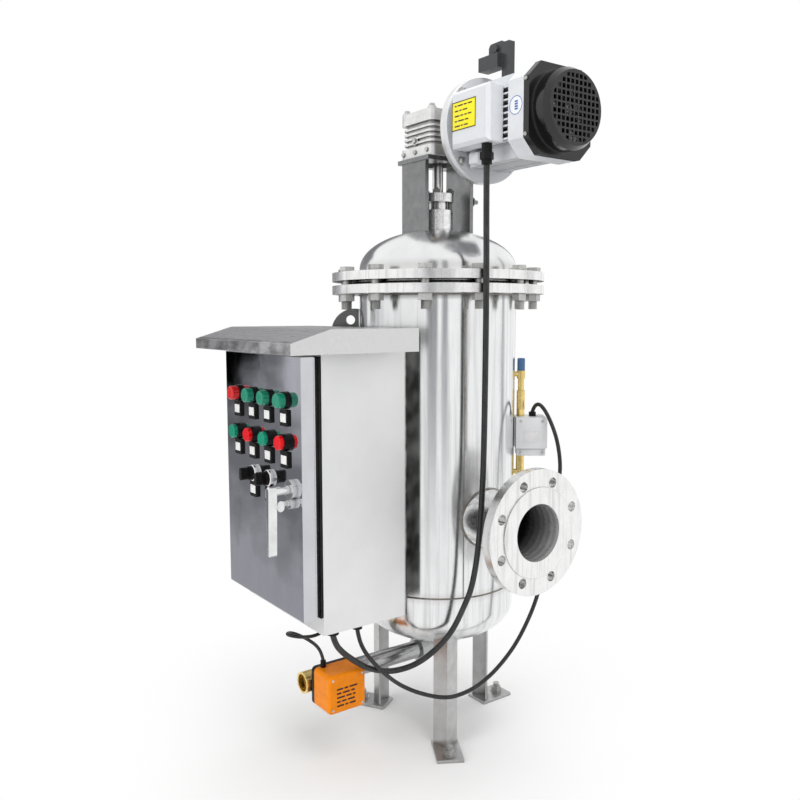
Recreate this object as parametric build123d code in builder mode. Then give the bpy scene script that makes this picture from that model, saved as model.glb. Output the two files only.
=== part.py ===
from build123d import *
from math import atan, cos, pi, radians, sin, sqrt, tan
import os

# Self cleaning filter: a worm gearmotor turns a brush that wipes the screen inside a vessel
# Millimetres, +Z up, origin on the vessel's axis at the floor, +X out of the inlet flange,
# -Y towards the cabinet door. Depths on the cabinet side are counted from the axis towards -Y.

os.makedirs("parts", exist_ok=True)

# Clearances
weld_gap = 0.1  # welded pieces that meet on a curved face
running_gap = 0.05  # shafts in their bearings
free_gap = 0.3  # pieces that move past each other
seat_gap = 0.3  # soft or sliding faces that stay just apart

# Vessel
shell_od = 300.0
shell_wall = 3.0
shell_bottom = 296.0
head_straight = 44.0
joint_z = 870.0  # middle of the cover gasket
flange_wide = 52.5  # ring outside the shell
flange_thick = 16.0
face_wide = 19.0  # raised face outside the shell
face_high = 2.5
gasket_thick = 3.0
cover_straight = 20.0
skirt_lift = 4.0  # cover skirt above the underside of its flange
bolt_count = 12
bolt_out = 32.0  # bolts outside the shell
bolt_turn = 15.0
bolt_hole = 18.0
bolt_dia = 16.0
bolt_flats = 24.0
bolt_head = 10.0
nut_high = 13.0
bolt_end = 15.0  # thread past the nut

# Nozzles
nozzle_bore = 100.0
nozzle_od = 108.0
nozzle_long = 130.0  # flange face outside the shell
nozzle_flange_od = 220.0
nozzle_flange_thick = 20.0
nozzle_face_od = 158.0
nozzle_face_high = 2.0
nozzle_circle = 180.0
nozzle_holes = 8
nozzle_hole = 18.0
inlet_z = 440.0
outlet_z = 660.0

# Legs and lifting lugs
leg_turn = -30.0
leg_inset = 10.0  # leg corner inside the shell's radius
leg_size = 32.0
leg_wall = 3.0
foot_long = 76.0
foot_wide = 50.0
foot_thick = 6.0
foot_out = 6.0  # middle of the foot outside the leg corner
anchor_out = 25.0  # anchor hole outside the leg corner
anchor_hole = 14.0
lug_turns = (228.0, 132.0)
lug_thick = 8.0
lug_r = 46.0
lug_out = 12.0  # middle of the lug outside the shell
lug_z = 778.0
lug_foot = 694.0
lug_eye = 18.0
eye_out = 20.0
eye_z = 802.0

# Stuffing box and gland
neck_od = 57.0
neck_bottom = 960.0
neck_top = 1009.0
packing_dia = 36.0
packing_bottom = 976.0
packing_count = 3
packing_high = 7.0
shaft_dia = 20.0
gland_od = 60.0
gland_thick = 16.0
gland_lift = 15.0  # gland flange above the stuffing box
gland_circle = 46.5
gland_studs_count = 4
gland_stud_dia = 8.0
gland_stud_top = 1050.0
gland_nut = 6.5
gland_nut_flats = 13.0

# Drive bracket
plate_wide = 72.0
plate_thick = 8.0
plate_mid = 54.0
seat_z = 1094.0
seat_wide = 94.0
seat_long = 120.0
seat_thick = 8.0
seat_hole = 62.0
earth_x = 26.0
earth_z = 1028.0

# Gearbox
centre_distance = 40.0
gear_wide = 96.0
gear_back = 76.0
gear_foot = 20.0
gear_inset = 7.0  # body inside its foot and its top band
gear_corner = 12.0
gear_joint = 74.0  # height of the cover joint above the seat
gear_high = 88.0
gear_band = 11.0  # band under the cover joint
gear_roof = 8.0
gear_floor = 22.0
fin_rows = 4
fin_first = 26.0
fin_row_pitch = 9.0
fin_row_thick = 4.0
fin_row_out = 4.0
cover_boss = 8.0  # radius of the bolt bosses
cover_boss_in = 10.0
cover_step = 4.0
worm_lift = 44.0  # motor axis above the gearbox foot
wheel_teeth = 40
wheel_wide = 14.0
wheel_room = 2.6
hub_dia = 36.0
worm_pitch_dia = 16.0
worm_turns = 3  # whole turns of the thread on each side of the mesh
worm_room = 4.4
pressure_angle = 20.0
thread_play = 0.1  # off each flank of the worm's thread
worm_half = 31.0
small_journal = 10.0
large_journal = 24.0
journal_long = 12.0
input_neck_dia = 88.0
input_disc_dia = 188.0
input_neck = 74.0
input_face = 83.0

# Motor
motor_shaft = 19.0
motor_disc = 10.0
motor_start = 97.0
motor_end = 228.0
shield_end = 264.0
cowl_square = 12.0
cowl_end = 310.0
motor_core = 116.0
motor_wall = 6.0
motor_half = 70.0
fin_count = 9
fin_pitch = 10.5
fin_thick = 3.0
shield_half = 74.0
shield_corner = 26.0
stator_dia = 70.0
stator_start = 105.0
stator_end = 195.0
air_gap = 0.4
rotor_start = 110.0
rotor_end = 190.0
cowl_dia = 132.0
cowl_face_dia = 120.0
cowl_wall = 2.0
grille_hole = 7.0
grille_pitch = 10.0
grille_dia = 112.0
fan_start = 276.0
fan_end = 296.0
fan_dia = 104.0
fan_hub = 28.0
fan_blades = 8
fan_blade = 2.5
box_start = 115.0
box_end = 212.0
box_bottom = 1099.0
box_top = 1194.0
box_deep = 24.0
box_wall = 3.0
lid_deep = 10.0
lid_chamfer = 6.0

# Bracket on top of the motor
post_x = 148.0
post_wide = 18.0
post_thick = 14.0
post_high = 74.0
post_foot = 5.0
top_bar_long = 50.0
top_bar_deep = 24.0
top_bar_high = 24.0
top_bar_drop = 42.0  # underside below the top of the post
top_plate_wide = 40.0
top_plate_high = 24.0
top_plate_thick = 6.0
top_plate_drop = 18.0
top_plate_corner = 8.0
top_bolt = 7.0

# Screen and brush
partition_z = 520.0
partition_thick = 8.0
partition_hole = 192.0
spider_arms = 3
spider_wide = 12.0
bush_dia = 30.0
bush_high = 20.0
screen_bore = 200.0
screen_wire = 3.0
screen_bars = 48
screen_bar = 3.0
screen_ring = 3.0
screen_rings = 4
screen_top = 842.0
screen_flange_gap = 7.0  # screen flange inside the shell
screen_flange = 6.0
shelf_bore = 224.0
shelf_thick = 6.0
brush_arm_z = (560.0, 690.0, 820.0)
brush_arm = 12.0
brush_bottom = 545.0
brush_top = 826.0
holder_r = 80.0
holder_deep = 10.0
holder_wide = 16.0
strip_wide = 8.0
strip_root = 84.0
strip_gap = 0.6
shaft_bottom = 506.0

# Cabinet
cab_left = -157.0
cab_wide = 280.0
cab_bottom = 285.0
cab_top = 788.0
cab_stand = 15.0  # back wall outside the shell
cab_deep = 169.0
cab_sheet = 2.0
door_bottom = 315.0
door_top = 746.0
door_stand = 14.0  # rim of the door tray in front of the box
door_deep = 23.0
doorway_inset = 18.0
rim_inset = 4.0
rim_high = 5.0
door_frame_inset = 1.0
door_frame_proud = 3.0
gasket_inset = 3.0
gasket_wide = 12.0
hood_over = 42.0  # past each side of the box
hood_stand = 5.0
hood_out = 40.0  # past the door's face
hood_bottom = 751.0
hood_lip = 769.0
hood_slope_in = 71.0  # start of the slope behind the hood's front
hood_sheet = 2.0
hinge_out = 6.0  # pins outside the box
hinge_in = 3.0  # pins behind the rim of the door
hinge_zs = (400.0, 660.0)
knuckle_dia = 11.0
knuckle_high = 15.0
hinge_pin = 6.0
leaf_thick = 3.0
leaf_deep = 40.0
bar_zs = (360.0, 680.0)
bar_high = 40.0
bar_thick = 6.0
bar_long = 220.0
ear_x = 60.0
panel_gap = 12.0  # mounting plate in front of the back wall
panel_side = 20.0
panel_end = 30.0
panel_thick = 3.0
panel_post_dia = 12.0
panel_post_in = 15.0
rail_zs = (640.0, 520.0, 400.0)
rail_high = 35.0
rail_thick = 7.0
rail_side = 30.0
breaker_wide = 18.0
breaker_pitch = 20.0
breaker_count = 6
breaker_high = 85.0
breaker_deep = 55.0
contactor_wide = 45.0
contactor_pitch = 58.0
contactor_high = 80.0
terminal_row = 150.0
terminal_high = 46.0
terminal_deep = 38.0

# Controls on the door
control_count = 4
control_pitch = 58.0
lamp_z = 674.0
button_drop = 69.0  # rows below the lamps
selector_drop = 137.0
control_hole = 22.5
bezel_dia = 29.0
bezel_high = 5.0
button_bezel_high = 9.0
barrel_long = 34.0
control_bore = 18.7
stem_dia = 18.0
lens_dia = 25.0
lens_out = 19.0
cap_dia = 24.0
cap_out = 17.0
cap_high = 9.0
knob_out = 28.0
knob_disc = 5.0
grip_wide = 9.0
label_drop = 28.6
label_wide = 25.0
label_high = 27.0
label_thick = 4.0

# Swing handle
handle_in = 32.0  # handle's axis inside the edge of the door
handle_z = 531.0
handle_base_dia = 32.0
handle_base_high = 8.0
spindle_dia = 14.0
handle_lift = 32.0  # back of the grip in front of the door
handle_thick = 14.0
handle_wide = 15.0
handle_tip = 9.0
handle_long = 115.0
handle_over = 9.0
tongue_thick = 4.0
tongue_wide = 16.0
tongue_long = 26.0
tongue_gap = 1.0
lock_drop = 22.0
lock_dia = 10.0
key_thick = 2.0

# Drain line
drain_drop = 25.0  # pipe's axis below the bottom head
drain_od = 33.7
drain_bore = 27.0
elbow_r = 25.0
coupling_od = 47.0
coupling_long = 25.0
valve_start = 216.0
valve_end = 308.0
valve_socket = 12.0
valve_bore = 21.0
valve_ball_dia = 31.0
valve_house = 38.0
valve_hex = 36.0
valve_hex_long = 20.0
drain_thread = 30.4
drain_thread_long = 14.0
valve_stem = 12.0
act_start = 20.0
act_base = 9.0
act_end = 80.0
act_back = 224.0
act_front = 300.0
act_below = 34.0
act_above = 36.0
act_corner = 8.0
stem_into_base = 7.0

# Differential pressure switch
switch_turn = 52.0
column_stand = 13.0
upper_tap = 697.0
lower_tap = 505.0
tap_bore = 6.0
column_dia = 12.0
switch_bottom = 554.0
switch_top = 615.0
switch_stand = 2.0
switch_long = 60.0
switch_wide = 52.0
strip_bottom = 540.0
knob_bottom = 704.0
knob_top = 728.0
knob_dia = 15.0

# Cables
motor_cable_dia = 10.5
switch_cable_dia = 7.5
valve_cable_dia = 6.0
motor_gland = (190.0, -46.0)
motor_gland_bottom = 1064.0
cabinet_glands = ((92.0, -299.0, 14.0, 22.0), (78.0, -240.0, 22.0, 18.0), (60.0, -283.0, 6.0, 14.0))
valve_gland = (34.0, -284.0)
valve_gland_high = 12.0
switch_gland_out = 34.0  # cable entry outside the near face
switch_gland_high = 8.0

# Worked out from the sizes above
shell_r = shell_od / 2
inner_r = shell_r - shell_wall
flange_od = shell_od + 2 * flange_wide
face_od = shell_od + 2 * face_wide
bolt_circle = shell_od + 2 * bolt_out
nozzle_face = shell_r + nozzle_long
leg_apex = shell_r - leg_inset
foot_mid = leg_apex + foot_out
anchor_r = leg_apex + anchor_out
lug_reach = shell_r + lug_out
eye_reach = shell_r + eye_out
screen_flange_od = 2 * (inner_r - screen_flange_gap)
column_r = shell_r + column_stand
switch_near = shell_r + switch_stand
switch_far = switch_near + switch_long
switch_gland_r = switch_near + switch_gland_out
head_depth = shell_od / 4
head_tangent = shell_bottom - head_straight
drain_z = head_tangent - head_depth - drain_drop
act_bottom = drain_z - act_below
act_top = drain_z + act_above
body_face = joint_z - gasket_thick / 2
cover_face = joint_z + gasket_thick / 2
body_flange_bottom = body_face - face_high - flange_thick
cover_flange_bottom = cover_face + face_high
cover_flange_top = cover_flange_bottom + flange_thick
cover_tangent = cover_flange_bottom + skirt_lift + cover_straight
shell_top = body_face - shell_wall
gear_seat = seat_z + seat_thick
motor_z = gear_seat + worm_lift
motor_y = centre_distance
gear_front = input_disc_dia / 2 - centre_distance
gear_mid_y = (gear_back - gear_front) / 2
fin_inset = gear_inset - fin_row_out
gear_long = gear_back + gear_front
gear_top = gear_seat + gear_high
gear_module = (2 * centre_distance - worm_pitch_dia) / wheel_teeth
worm_lead = pi * gear_module
worm_tip_r = worm_pitch_dia / 2 + gear_module
worm_root_r = worm_pitch_dia / 2 - 1.25 * gear_module
wheel_tip_r = centre_distance - worm_pitch_dia / 2 + gear_module
wheel_root_r = centre_distance - worm_pitch_dia / 2 - 1.25 * gear_module
wheel_outer_r = wheel_tip_r + gear_module / 2
wheel_room_r = wheel_outer_r + wheel_room
flank_slope = tan(radians(pressure_angle))
wheel_floor = gear_seat + gear_floor
wheel_ceiling = gear_top - gear_roof
shaft_top = gear_top - 4
motor_face = input_face + motor_disc
cab_mid_x = cab_left + cab_wide / 2
cab_back = shell_r + cab_stand
cab_front = cab_back + cab_deep
door_back = cab_front + door_stand
door_face = door_back + door_deep
cab_mid_z = (cab_bottom + cab_top) / 2
cab_right = cab_left + cab_wide
hood_left = cab_left - hood_over
hood_right = cab_right + hood_over
hood_back = cab_back + hood_stand
hood_front = door_face + hood_out
hood_slope_end = hood_front - hood_slope_in
hinge_x = cab_left - hinge_out
hinge_depth = door_back - hinge_in
control_xs = [cab_mid_x + (step - (control_count - 1) / 2) * control_pitch for step in range(control_count)]
selector_xs = control_xs[1:3]
button_z = lamp_z - button_drop
selector_z = lamp_z - selector_drop
handle_x = cab_right - handle_in
handle_start = door_face + handle_lift
door_mid_z = (door_bottom + door_top) / 2
door_high = door_top - door_bottom
lip_inside = cab_front - cab_sheet
switch_mid = (switch_near + switch_far) / 2
screen_out_r = screen_bore / 2 + screen_wire + screen_ring
strip_tip = screen_bore / 2 - strip_gap


def radial_plane(turn):
    """Upright plane through the vessel's axis, local x outwards and local y up"""
    across = radians(turn)
    outwards = (cos(across), sin(across), 0)
    return Plane(origin=(0, 0, 0), x_dir=outwards, z_dir=(sin(across), -cos(across), 0))


def side_plane(x):
    """Plane across the motor's axis, with that axis at its origin, local x along +Y and local y up"""
    return Plane(origin=(x, motor_y, motor_z), x_dir=(0, 1, 0), z_dir=(1, 0, 0))


def front_plane(depth):
    """Plane facing the cabinet door at a depth from the vessel's axis, local x along +X, local y up"""
    return Plane.XZ.offset(depth)


# Vessel shell with its nozzle and tap openings and the two lifting lugs
with BuildPart() as vessel_shell:
    with BuildSketch(Plane.XY.offset(shell_bottom)):
        Circle(shell_r)
        Circle(inner_r, mode=Mode.SUBTRACT)
    extrude(amount=shell_top - shell_bottom)
    with BuildSketch(Plane.YZ):
        with Locations((0, inlet_z)):
            Circle(nozzle_bore / 2)
    extrude(amount=shell_od, mode=Mode.SUBTRACT)
    with BuildSketch(Plane.YZ):
        with Locations((0, outlet_z)):
            Circle(nozzle_bore / 2)
    extrude(amount=-shell_od, mode=Mode.SUBTRACT)
    tap_out = radial_plane(switch_turn).x_dir
    tap_plane = Plane(radial_plane(switch_turn).origin, x_dir=(0, 0, 1), z_dir=tap_out)
    with BuildSketch(tap_plane):
        with Locations((upper_tap, 0), (lower_tap, 0)):
            Circle(tap_bore / 2)
    extrude(amount=shell_od, mode=Mode.SUBTRACT)
    for turn in lug_turns:
        with BuildSketch(radial_plane(turn)):
            with Locations((lug_reach, lug_z)):
                Circle(lug_r)
            with Locations((shell_r, lug_foot)):
                Circle(foot_thick)
            make_hull()
            with Locations((shell_r - shell_wall / 2, lug_z)):
                Rectangle(shell_od, shell_od, align=(Align.MIN, Align.CENTER), mode=Mode.INTERSECT)
            with Locations((eye_reach, eye_z)):
                Circle(lug_eye / 2, mode=Mode.SUBTRACT)
        extrude(amount=lug_thick / 2, both=True)

# Bottom head: a 2 to 1 dished end with a hole for the drain pipe
with BuildPart() as bottom_head:
    with BuildSketch(Plane.XZ):
        with Locations((0, head_tangent)):
            Ellipse(shell_r, head_depth)
            Ellipse(inner_r, head_depth - shell_wall, mode=Mode.SUBTRACT)
            Rectangle(shell_r, head_depth, align=(Align.MIN, Align.MAX), mode=Mode.INTERSECT)
        with Locations((inner_r, head_tangent)):
            Rectangle(shell_wall, head_straight, align=(Align.MIN, Align.MIN))
    revolve(axis=Axis.Z)
    with BuildSketch(Plane.XY):
        Circle(drain_od / 2 + weld_gap)
    extrude(amount=head_tangent, mode=Mode.SUBTRACT)

# Body flange, slipped over the top of the shell
with BuildPart() as body_flange:
    with BuildSketch(Plane.XY.offset(body_flange_bottom)):
        Circle(flange_od / 2)
        Circle(shell_r, mode=Mode.SUBTRACT)
        with PolarLocations(bolt_circle / 2, bolt_count, start_angle=bolt_turn):
            Circle(bolt_hole / 2, mode=Mode.SUBTRACT)
    extrude(amount=flange_thick)
    with BuildSketch(Plane.XY.offset(body_flange_bottom + flange_thick)):
        Circle(face_od / 2)
        Circle(shell_r, mode=Mode.SUBTRACT)
    extrude(amount=face_high)

# Cover flange, the same ring turned over
with BuildPart() as cover_flange:
    with BuildSketch(Plane.XY.offset(cover_flange_bottom)):
        Circle(flange_od / 2)
        Circle(shell_r, mode=Mode.SUBTRACT)
        with PolarLocations(bolt_circle / 2, bolt_count, start_angle=bolt_turn):
            Circle(bolt_hole / 2, mode=Mode.SUBTRACT)
    extrude(amount=flange_thick)
    with BuildSketch(Plane.XY.offset(cover_flange_bottom)):
        Circle(face_od / 2)
        Circle(shell_r, mode=Mode.SUBTRACT)
    extrude(amount=-face_high)

# Flat gasket between the raised faces
with BuildPart() as cover_gasket:
    with BuildSketch(Plane.XY.offset(body_face)):
        Circle(face_od / 2 - 1)
        Circle(shell_r, mode=Mode.SUBTRACT)
    extrude(amount=gasket_thick)

# Cover dome with the hole for the stuffing box
with BuildPart() as cover_dome:
    with BuildSketch(Plane.XZ):
        with Locations((0, cover_tangent)):
            Ellipse(shell_r, head_depth)
            Ellipse(inner_r, head_depth - shell_wall, mode=Mode.SUBTRACT)
            Rectangle(shell_r, head_depth, align=(Align.MIN, Align.MIN), mode=Mode.INTERSECT)
        with Locations((inner_r, cover_tangent)):
            Rectangle(shell_wall, cover_straight, align=(Align.MIN, Align.MAX))
    revolve(axis=Axis.Z)
    with BuildSketch(Plane.XY.offset(cover_tangent)):
        Circle(neck_od / 2 + weld_gap)
    extrude(amount=head_depth, mode=Mode.SUBTRACT)

# Cover bolts, each with its nut under the body flange
with BuildPart() as cover_bolts:
    with BuildSketch(Plane.XY.offset(cover_flange_top)):
        with PolarLocations(bolt_circle / 2, bolt_count, start_angle=bolt_turn):
            RegularPolygon(bolt_flats / 2, 6, major_radius=False)
    extrude(amount=bolt_head)
    with BuildSketch(Plane.XY.offset(cover_flange_top)):
        with PolarLocations(bolt_circle / 2, bolt_count, start_angle=bolt_turn):
            Circle(bolt_dia / 2)
    extrude(amount=-(cover_flange_top - body_flange_bottom + nut_high + bolt_end))
    with BuildSketch(Plane.XY.offset(body_flange_bottom)):
        with PolarLocations(bolt_circle / 2, bolt_count, start_angle=bolt_turn):
            RegularPolygon(bolt_flats / 2, 6, major_radius=False)
            Circle(bolt_dia / 2 + running_gap, mode=Mode.SUBTRACT)
    extrude(amount=-nut_high)


def make_nozzle(side, height):
    """Pipe stub set on the shell, with a raised face flange at its end"""
    ring_start = side * (nozzle_face - nozzle_flange_thick)
    ring_thick = nozzle_flange_thick - nozzle_face_high
    with BuildPart() as nozzle:
        with BuildSketch(Plane.YZ.offset(side * (shell_r - nozzle_od / 4))):
            with Locations((0, height)):
                Circle(nozzle_od / 2)
        extrude(amount=side * (nozzle_face - nozzle_flange_thick / 2 - shell_r + nozzle_od / 4))
        with Locations((0, 0, height)):
            Cylinder(shell_r + weld_gap, nozzle_od * 2, mode=Mode.SUBTRACT)
        with BuildSketch(Plane.YZ.offset(ring_start)):
            with Locations((0, height)):
                Circle(nozzle_flange_od / 2)
                with PolarLocations(nozzle_circle / 2, nozzle_holes, start_angle=180 / nozzle_holes):
                    Circle(nozzle_hole / 2, mode=Mode.SUBTRACT)
        extrude(amount=side * ring_thick)
        with BuildSketch(Plane.YZ.offset(ring_start)):
            with Locations((0, height)):
                Circle(nozzle_face_od / 2)
        extrude(amount=side * nozzle_flange_thick)
        with BuildSketch(Plane.YZ):
            with Locations((0, height)):
                Circle(nozzle_bore / 2)
        extrude(amount=side * nozzle_face, mode=Mode.SUBTRACT)
    return nozzle


inlet_nozzle = make_nozzle(1, inlet_z)
outlet_nozzle = make_nozzle(-1, outlet_z)

# Angle iron legs with their corner outwards, cut to the bottom head, on foot plates
leg_c = leg_size / sqrt(2)
leg_u = leg_wall / sqrt(2)
with BuildPart() as support_legs:
    with BuildSketch(Plane.XY.offset(foot_thick)):
        with PolarLocations(leg_apex, 3, start_angle=leg_turn):
            Polygon(
                (0, 0),
                (-leg_c, leg_c),
                (-leg_c - leg_u, leg_c - leg_u),
                (-2 * leg_u, 0),
                (-leg_c - leg_u, leg_u - leg_c),
                (-leg_c, -leg_c),
                align=None,
            )
    extrude(amount=head_tangent - foot_thick)
    with BuildSketch(Plane.XZ):
        with Locations((0, head_tangent)):
            Ellipse(shell_r + weld_gap, head_depth + weld_gap)
            Rectangle(shell_r * 2, head_depth * 2, align=(Align.MIN, Align.CENTER), mode=Mode.INTERSECT)
    revolve(axis=Axis.Z, mode=Mode.SUBTRACT)
    with BuildSketch(Plane.XY):
        with PolarLocations(foot_mid, 3, start_angle=leg_turn):
            Rectangle(foot_long, foot_wide)
        with PolarLocations(anchor_r, 3, start_angle=leg_turn):
            Circle(anchor_hole / 2, mode=Mode.SUBTRACT)
    extrude(amount=foot_thick)

# Stuffing box, welded into the cover
with BuildPart() as stuffing_box:
    with BuildSketch(Plane.XY.offset(neck_bottom)):
        Circle(neck_od / 2)
        Circle(shaft_dia / 2 + free_gap, mode=Mode.SUBTRACT)
    extrude(amount=neck_top - neck_bottom)
    with BuildSketch(Plane.XY.offset(packing_bottom)):
        Circle(packing_dia / 2)
    extrude(amount=neck_top - packing_bottom, mode=Mode.SUBTRACT)
    with BuildSketch(Plane.XY.offset(neck_top)):
        with PolarLocations(gland_circle / 2, gland_studs_count, start_angle=45):
            Circle(gland_stud_dia / 2 + running_gap)
    extrude(amount=-gland_stud_dia * 2, mode=Mode.SUBTRACT)

# Packing rings around the shaft
packing_top = packing_bottom + packing_count * packing_high
with BuildPart() as packing_rings:
    for ring in range(packing_count):
        with BuildSketch(Plane.XY.offset(packing_bottom + ring * packing_high)):
            Circle(packing_dia / 2 - running_gap)
            Circle(shaft_dia / 2 + free_gap, mode=Mode.SUBTRACT)
        extrude(amount=packing_high - running_gap)

# Gland follower that presses the packing
gland_bottom = neck_top + gland_lift
with BuildPart() as gland_follower:
    with BuildSketch(Plane.XY.offset(packing_top)):
        Circle(packing_dia / 2 - free_gap)
    extrude(amount=gland_bottom - packing_top)
    with BuildSketch(Plane.XY.offset(gland_bottom)):
        Circle(gland_od / 2)
        with PolarLocations(gland_circle / 2, gland_studs_count, start_angle=45):
            Circle(gland_stud_dia / 2 + free_gap, mode=Mode.SUBTRACT)
    extrude(amount=gland_thick)
    with BuildSketch(Plane.XY.offset(packing_top)):
        Circle(shaft_dia / 2 + free_gap)
    extrude(amount=gland_bottom + gland_thick - packing_top, mode=Mode.SUBTRACT)

# Gland studs and their nuts
with BuildPart() as gland_studs:
    with BuildSketch(Plane.XY.offset(neck_top - gland_stud_dia * 2)):
        with PolarLocations(gland_circle / 2, gland_studs_count, start_angle=45):
            Circle(gland_stud_dia / 2)
    extrude(amount=gland_stud_top - neck_top + gland_stud_dia * 2)
    with BuildSketch(Plane.XY.offset(gland_bottom + gland_thick)):
        with PolarLocations(gland_circle / 2, gland_studs_count, start_angle=45):
            RegularPolygon(gland_nut_flats / 2, 6, major_radius=False)
            Circle(gland_stud_dia / 2 + running_gap, mode=Mode.SUBTRACT)
    extrude(amount=gland_nut)

# Drive bracket: two plates cut to the dome, a seat plate on top and an earth stud
with BuildPart() as drive_bracket:
    with BuildSketch(Plane.XY.offset(cover_tangent)):
        with Locations((0, plate_mid), (0, -plate_mid)):
            Rectangle(plate_wide, plate_thick)
    extrude(amount=seat_z - cover_tangent)
    with BuildSketch(Plane.XZ):
        with Locations((0, cover_tangent)):
            Ellipse(shell_r + weld_gap, head_depth + weld_gap)
            Rectangle(shell_r * 2, head_depth * 2, align=(Align.MIN, Align.CENTER), mode=Mode.INTERSECT)
    revolve(axis=Axis.Z, mode=Mode.SUBTRACT)
    with BuildSketch(Plane.XY.offset(seat_z)):
        Rectangle(seat_wide, seat_long)
        Circle(seat_hole / 2, mode=Mode.SUBTRACT)
    extrude(amount=seat_thick)
    earth_start = plate_mid + plate_thick / 2
    with BuildSketch(front_plane(-earth_start)):
        with Locations((earth_x, earth_z)):
            Circle(4)
    extrude(amount=-18)
    with BuildSketch(front_plane(-earth_start - 4)):
        with Locations((earth_x, earth_z)):
            Circle(9)
    extrude(amount=-3)

# Gearbox housing with its fins, wheel room, worm tunnel and input disc
with BuildPart() as gearbox_housing:
    with BuildSketch(Plane.XY.offset(gear_seat)):
        with Locations((0, gear_mid_y)):
            RectangleRounded(gear_wide, gear_long, gear_corner)
    extrude(amount=gear_foot)
    with BuildSketch(Plane.XY.offset(gear_seat)):
        with Locations((0, gear_mid_y)):
            RectangleRounded(gear_wide - 2 * gear_inset, gear_long - 2 * gear_inset, gear_corner)
    extrude(amount=gear_joint)
    for row in range(fin_rows):
        with BuildSketch(Plane.XY.offset(gear_seat + fin_first + row * fin_row_pitch)):
            with Locations((0, gear_mid_y)):
                RectangleRounded(gear_wide - 2 * fin_inset, gear_long - 2 * fin_inset, gear_corner)
        extrude(amount=fin_row_thick)
    with BuildSketch(Plane.XY.offset(gear_seat + gear_joint - gear_band)):
        with Locations((0, gear_mid_y)):
            RectangleRounded(gear_wide, gear_long, gear_corner)
    extrude(amount=gear_band)
    with BuildSketch(side_plane(gear_wide / 2 - 2 * gear_inset)):
        Circle(input_neck_dia / 2)
    extrude(amount=input_face - gear_wide / 2 + 2 * gear_inset)
    with BuildSketch(side_plane(input_neck)):
        Circle(input_disc_dia / 2)
    extrude(amount=input_face - input_neck)
    with BuildSketch(Plane.XY.offset(gear_seat + gear_joint)):
        Rectangle(gear_wide, gear_long * 2)
    extrude(amount=gear_high, mode=Mode.SUBTRACT)
    with BuildSketch(Plane.XY.offset(wheel_floor)):
        Circle(wheel_room_r)
    extrude(amount=gear_high, mode=Mode.SUBTRACT)
    with BuildSketch(Plane.XY.offset(gear_seat)):
        Circle(hub_dia / 2 + running_gap)
    extrude(amount=gear_high, mode=Mode.SUBTRACT)
    with BuildSketch(side_plane(-worm_half)):
        Circle(worm_tip_r + worm_room)
    extrude(amount=2 * worm_half, mode=Mode.SUBTRACT)
    with BuildSketch(side_plane(-worm_half - journal_long - 1)):
        Circle(small_journal / 2 + running_gap)
    extrude(amount=2 * worm_half, mode=Mode.SUBTRACT)
    with BuildSketch(side_plane(0)):
        Circle(large_journal / 2 + running_gap)
    extrude(amount=input_face, mode=Mode.SUBTRACT)

# Gearbox cover with its bolt bosses
cover_room = wheel_ceiling - gear_seat - gear_joint
with BuildPart() as gearbox_cover:
    with BuildSketch(Plane.XY.offset(gear_seat + gear_joint)):
        with Locations((0, gear_mid_y)):
            RectangleRounded(gear_wide, gear_long, gear_corner)
    extrude(amount=gear_high - gear_joint - cover_step)
    with BuildSketch(Plane.XY.offset(gear_seat + gear_joint)):
        Circle(hub_dia / 2 + 3 * cover_step)
        with Locations((0, gear_mid_y)):
            with GridLocations(gear_wide - 2 * cover_boss_in, gear_long - 2 * cover_boss_in, 2, 2):
                Circle(cover_boss)
    extrude(amount=gear_high - gear_joint)
    with BuildSketch(side_plane(input_neck)):
        Circle(input_neck_dia / 2 + free_gap)
    extrude(amount=-3 * gear_inset, mode=Mode.SUBTRACT)
    with BuildSketch(Plane.XY.offset(gear_seat + gear_joint)):
        Circle(wheel_room_r)
    extrude(amount=cover_room, mode=Mode.SUBTRACT)
    with BuildSketch(Plane.XY.offset(gear_seat + gear_joint)):
        Circle(hub_dia / 2 + running_gap)
    extrude(amount=gear_high, mode=Mode.SUBTRACT)

# Worm wheel on the brush shaft: its rim is hollowed around the worm, and the gaps between its
# teeth lean with the worm's thread, one of them facing the worm
tooth_lean = atan(worm_lead / (pi * worm_pitch_dia))
gap_root = gear_module / 2
gap_end = wheel_outer_r + gear_module
gap_mouth = gap_root + (gap_end - wheel_root_r) * flank_slope
gap_planes = []
for tooth in range(wheel_teeth):
    turn = 2 * pi * tooth / wheel_teeth
    across = (cos(tooth_lean) * cos(turn), cos(tooth_lean) * sin(turn), sin(tooth_lean))
    up = (-sin(tooth_lean) * cos(turn), -sin(tooth_lean) * sin(turn), cos(tooth_lean))
    gap_planes.append(Plane(origin=(0, 0, motor_z), x_dir=across, z_dir=up))

with BuildPart() as worm_wheel:
    with BuildSketch(Plane.XZ):
        with Locations((wheel_outer_r / 2, motor_z)):
            Rectangle(wheel_outer_r, wheel_wide)
        with Locations((centre_distance, motor_z)):
            Circle(centre_distance - wheel_tip_r, mode=Mode.SUBTRACT)
    revolve(axis=Axis.Z)
    with BuildSketch(*gap_planes):
        Polygon(
            (-gap_root, wheel_root_r),
            (gap_root, wheel_root_r),
            (gap_mouth, gap_end),
            (-gap_mouth, gap_end),
            align=None,
        )
    extrude(amount=wheel_wide, both=True, mode=Mode.SUBTRACT)
    with BuildSketch(Plane.XY.offset(gear_seat + 2)):
        Circle(hub_dia / 2)
    extrude(amount=gear_high - 4)
    with BuildSketch(Plane.XY.offset(gear_seat)):
        Circle(shaft_dia / 2 + running_gap)
    extrude(amount=gear_high, mode=Mode.SUBTRACT)

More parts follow.
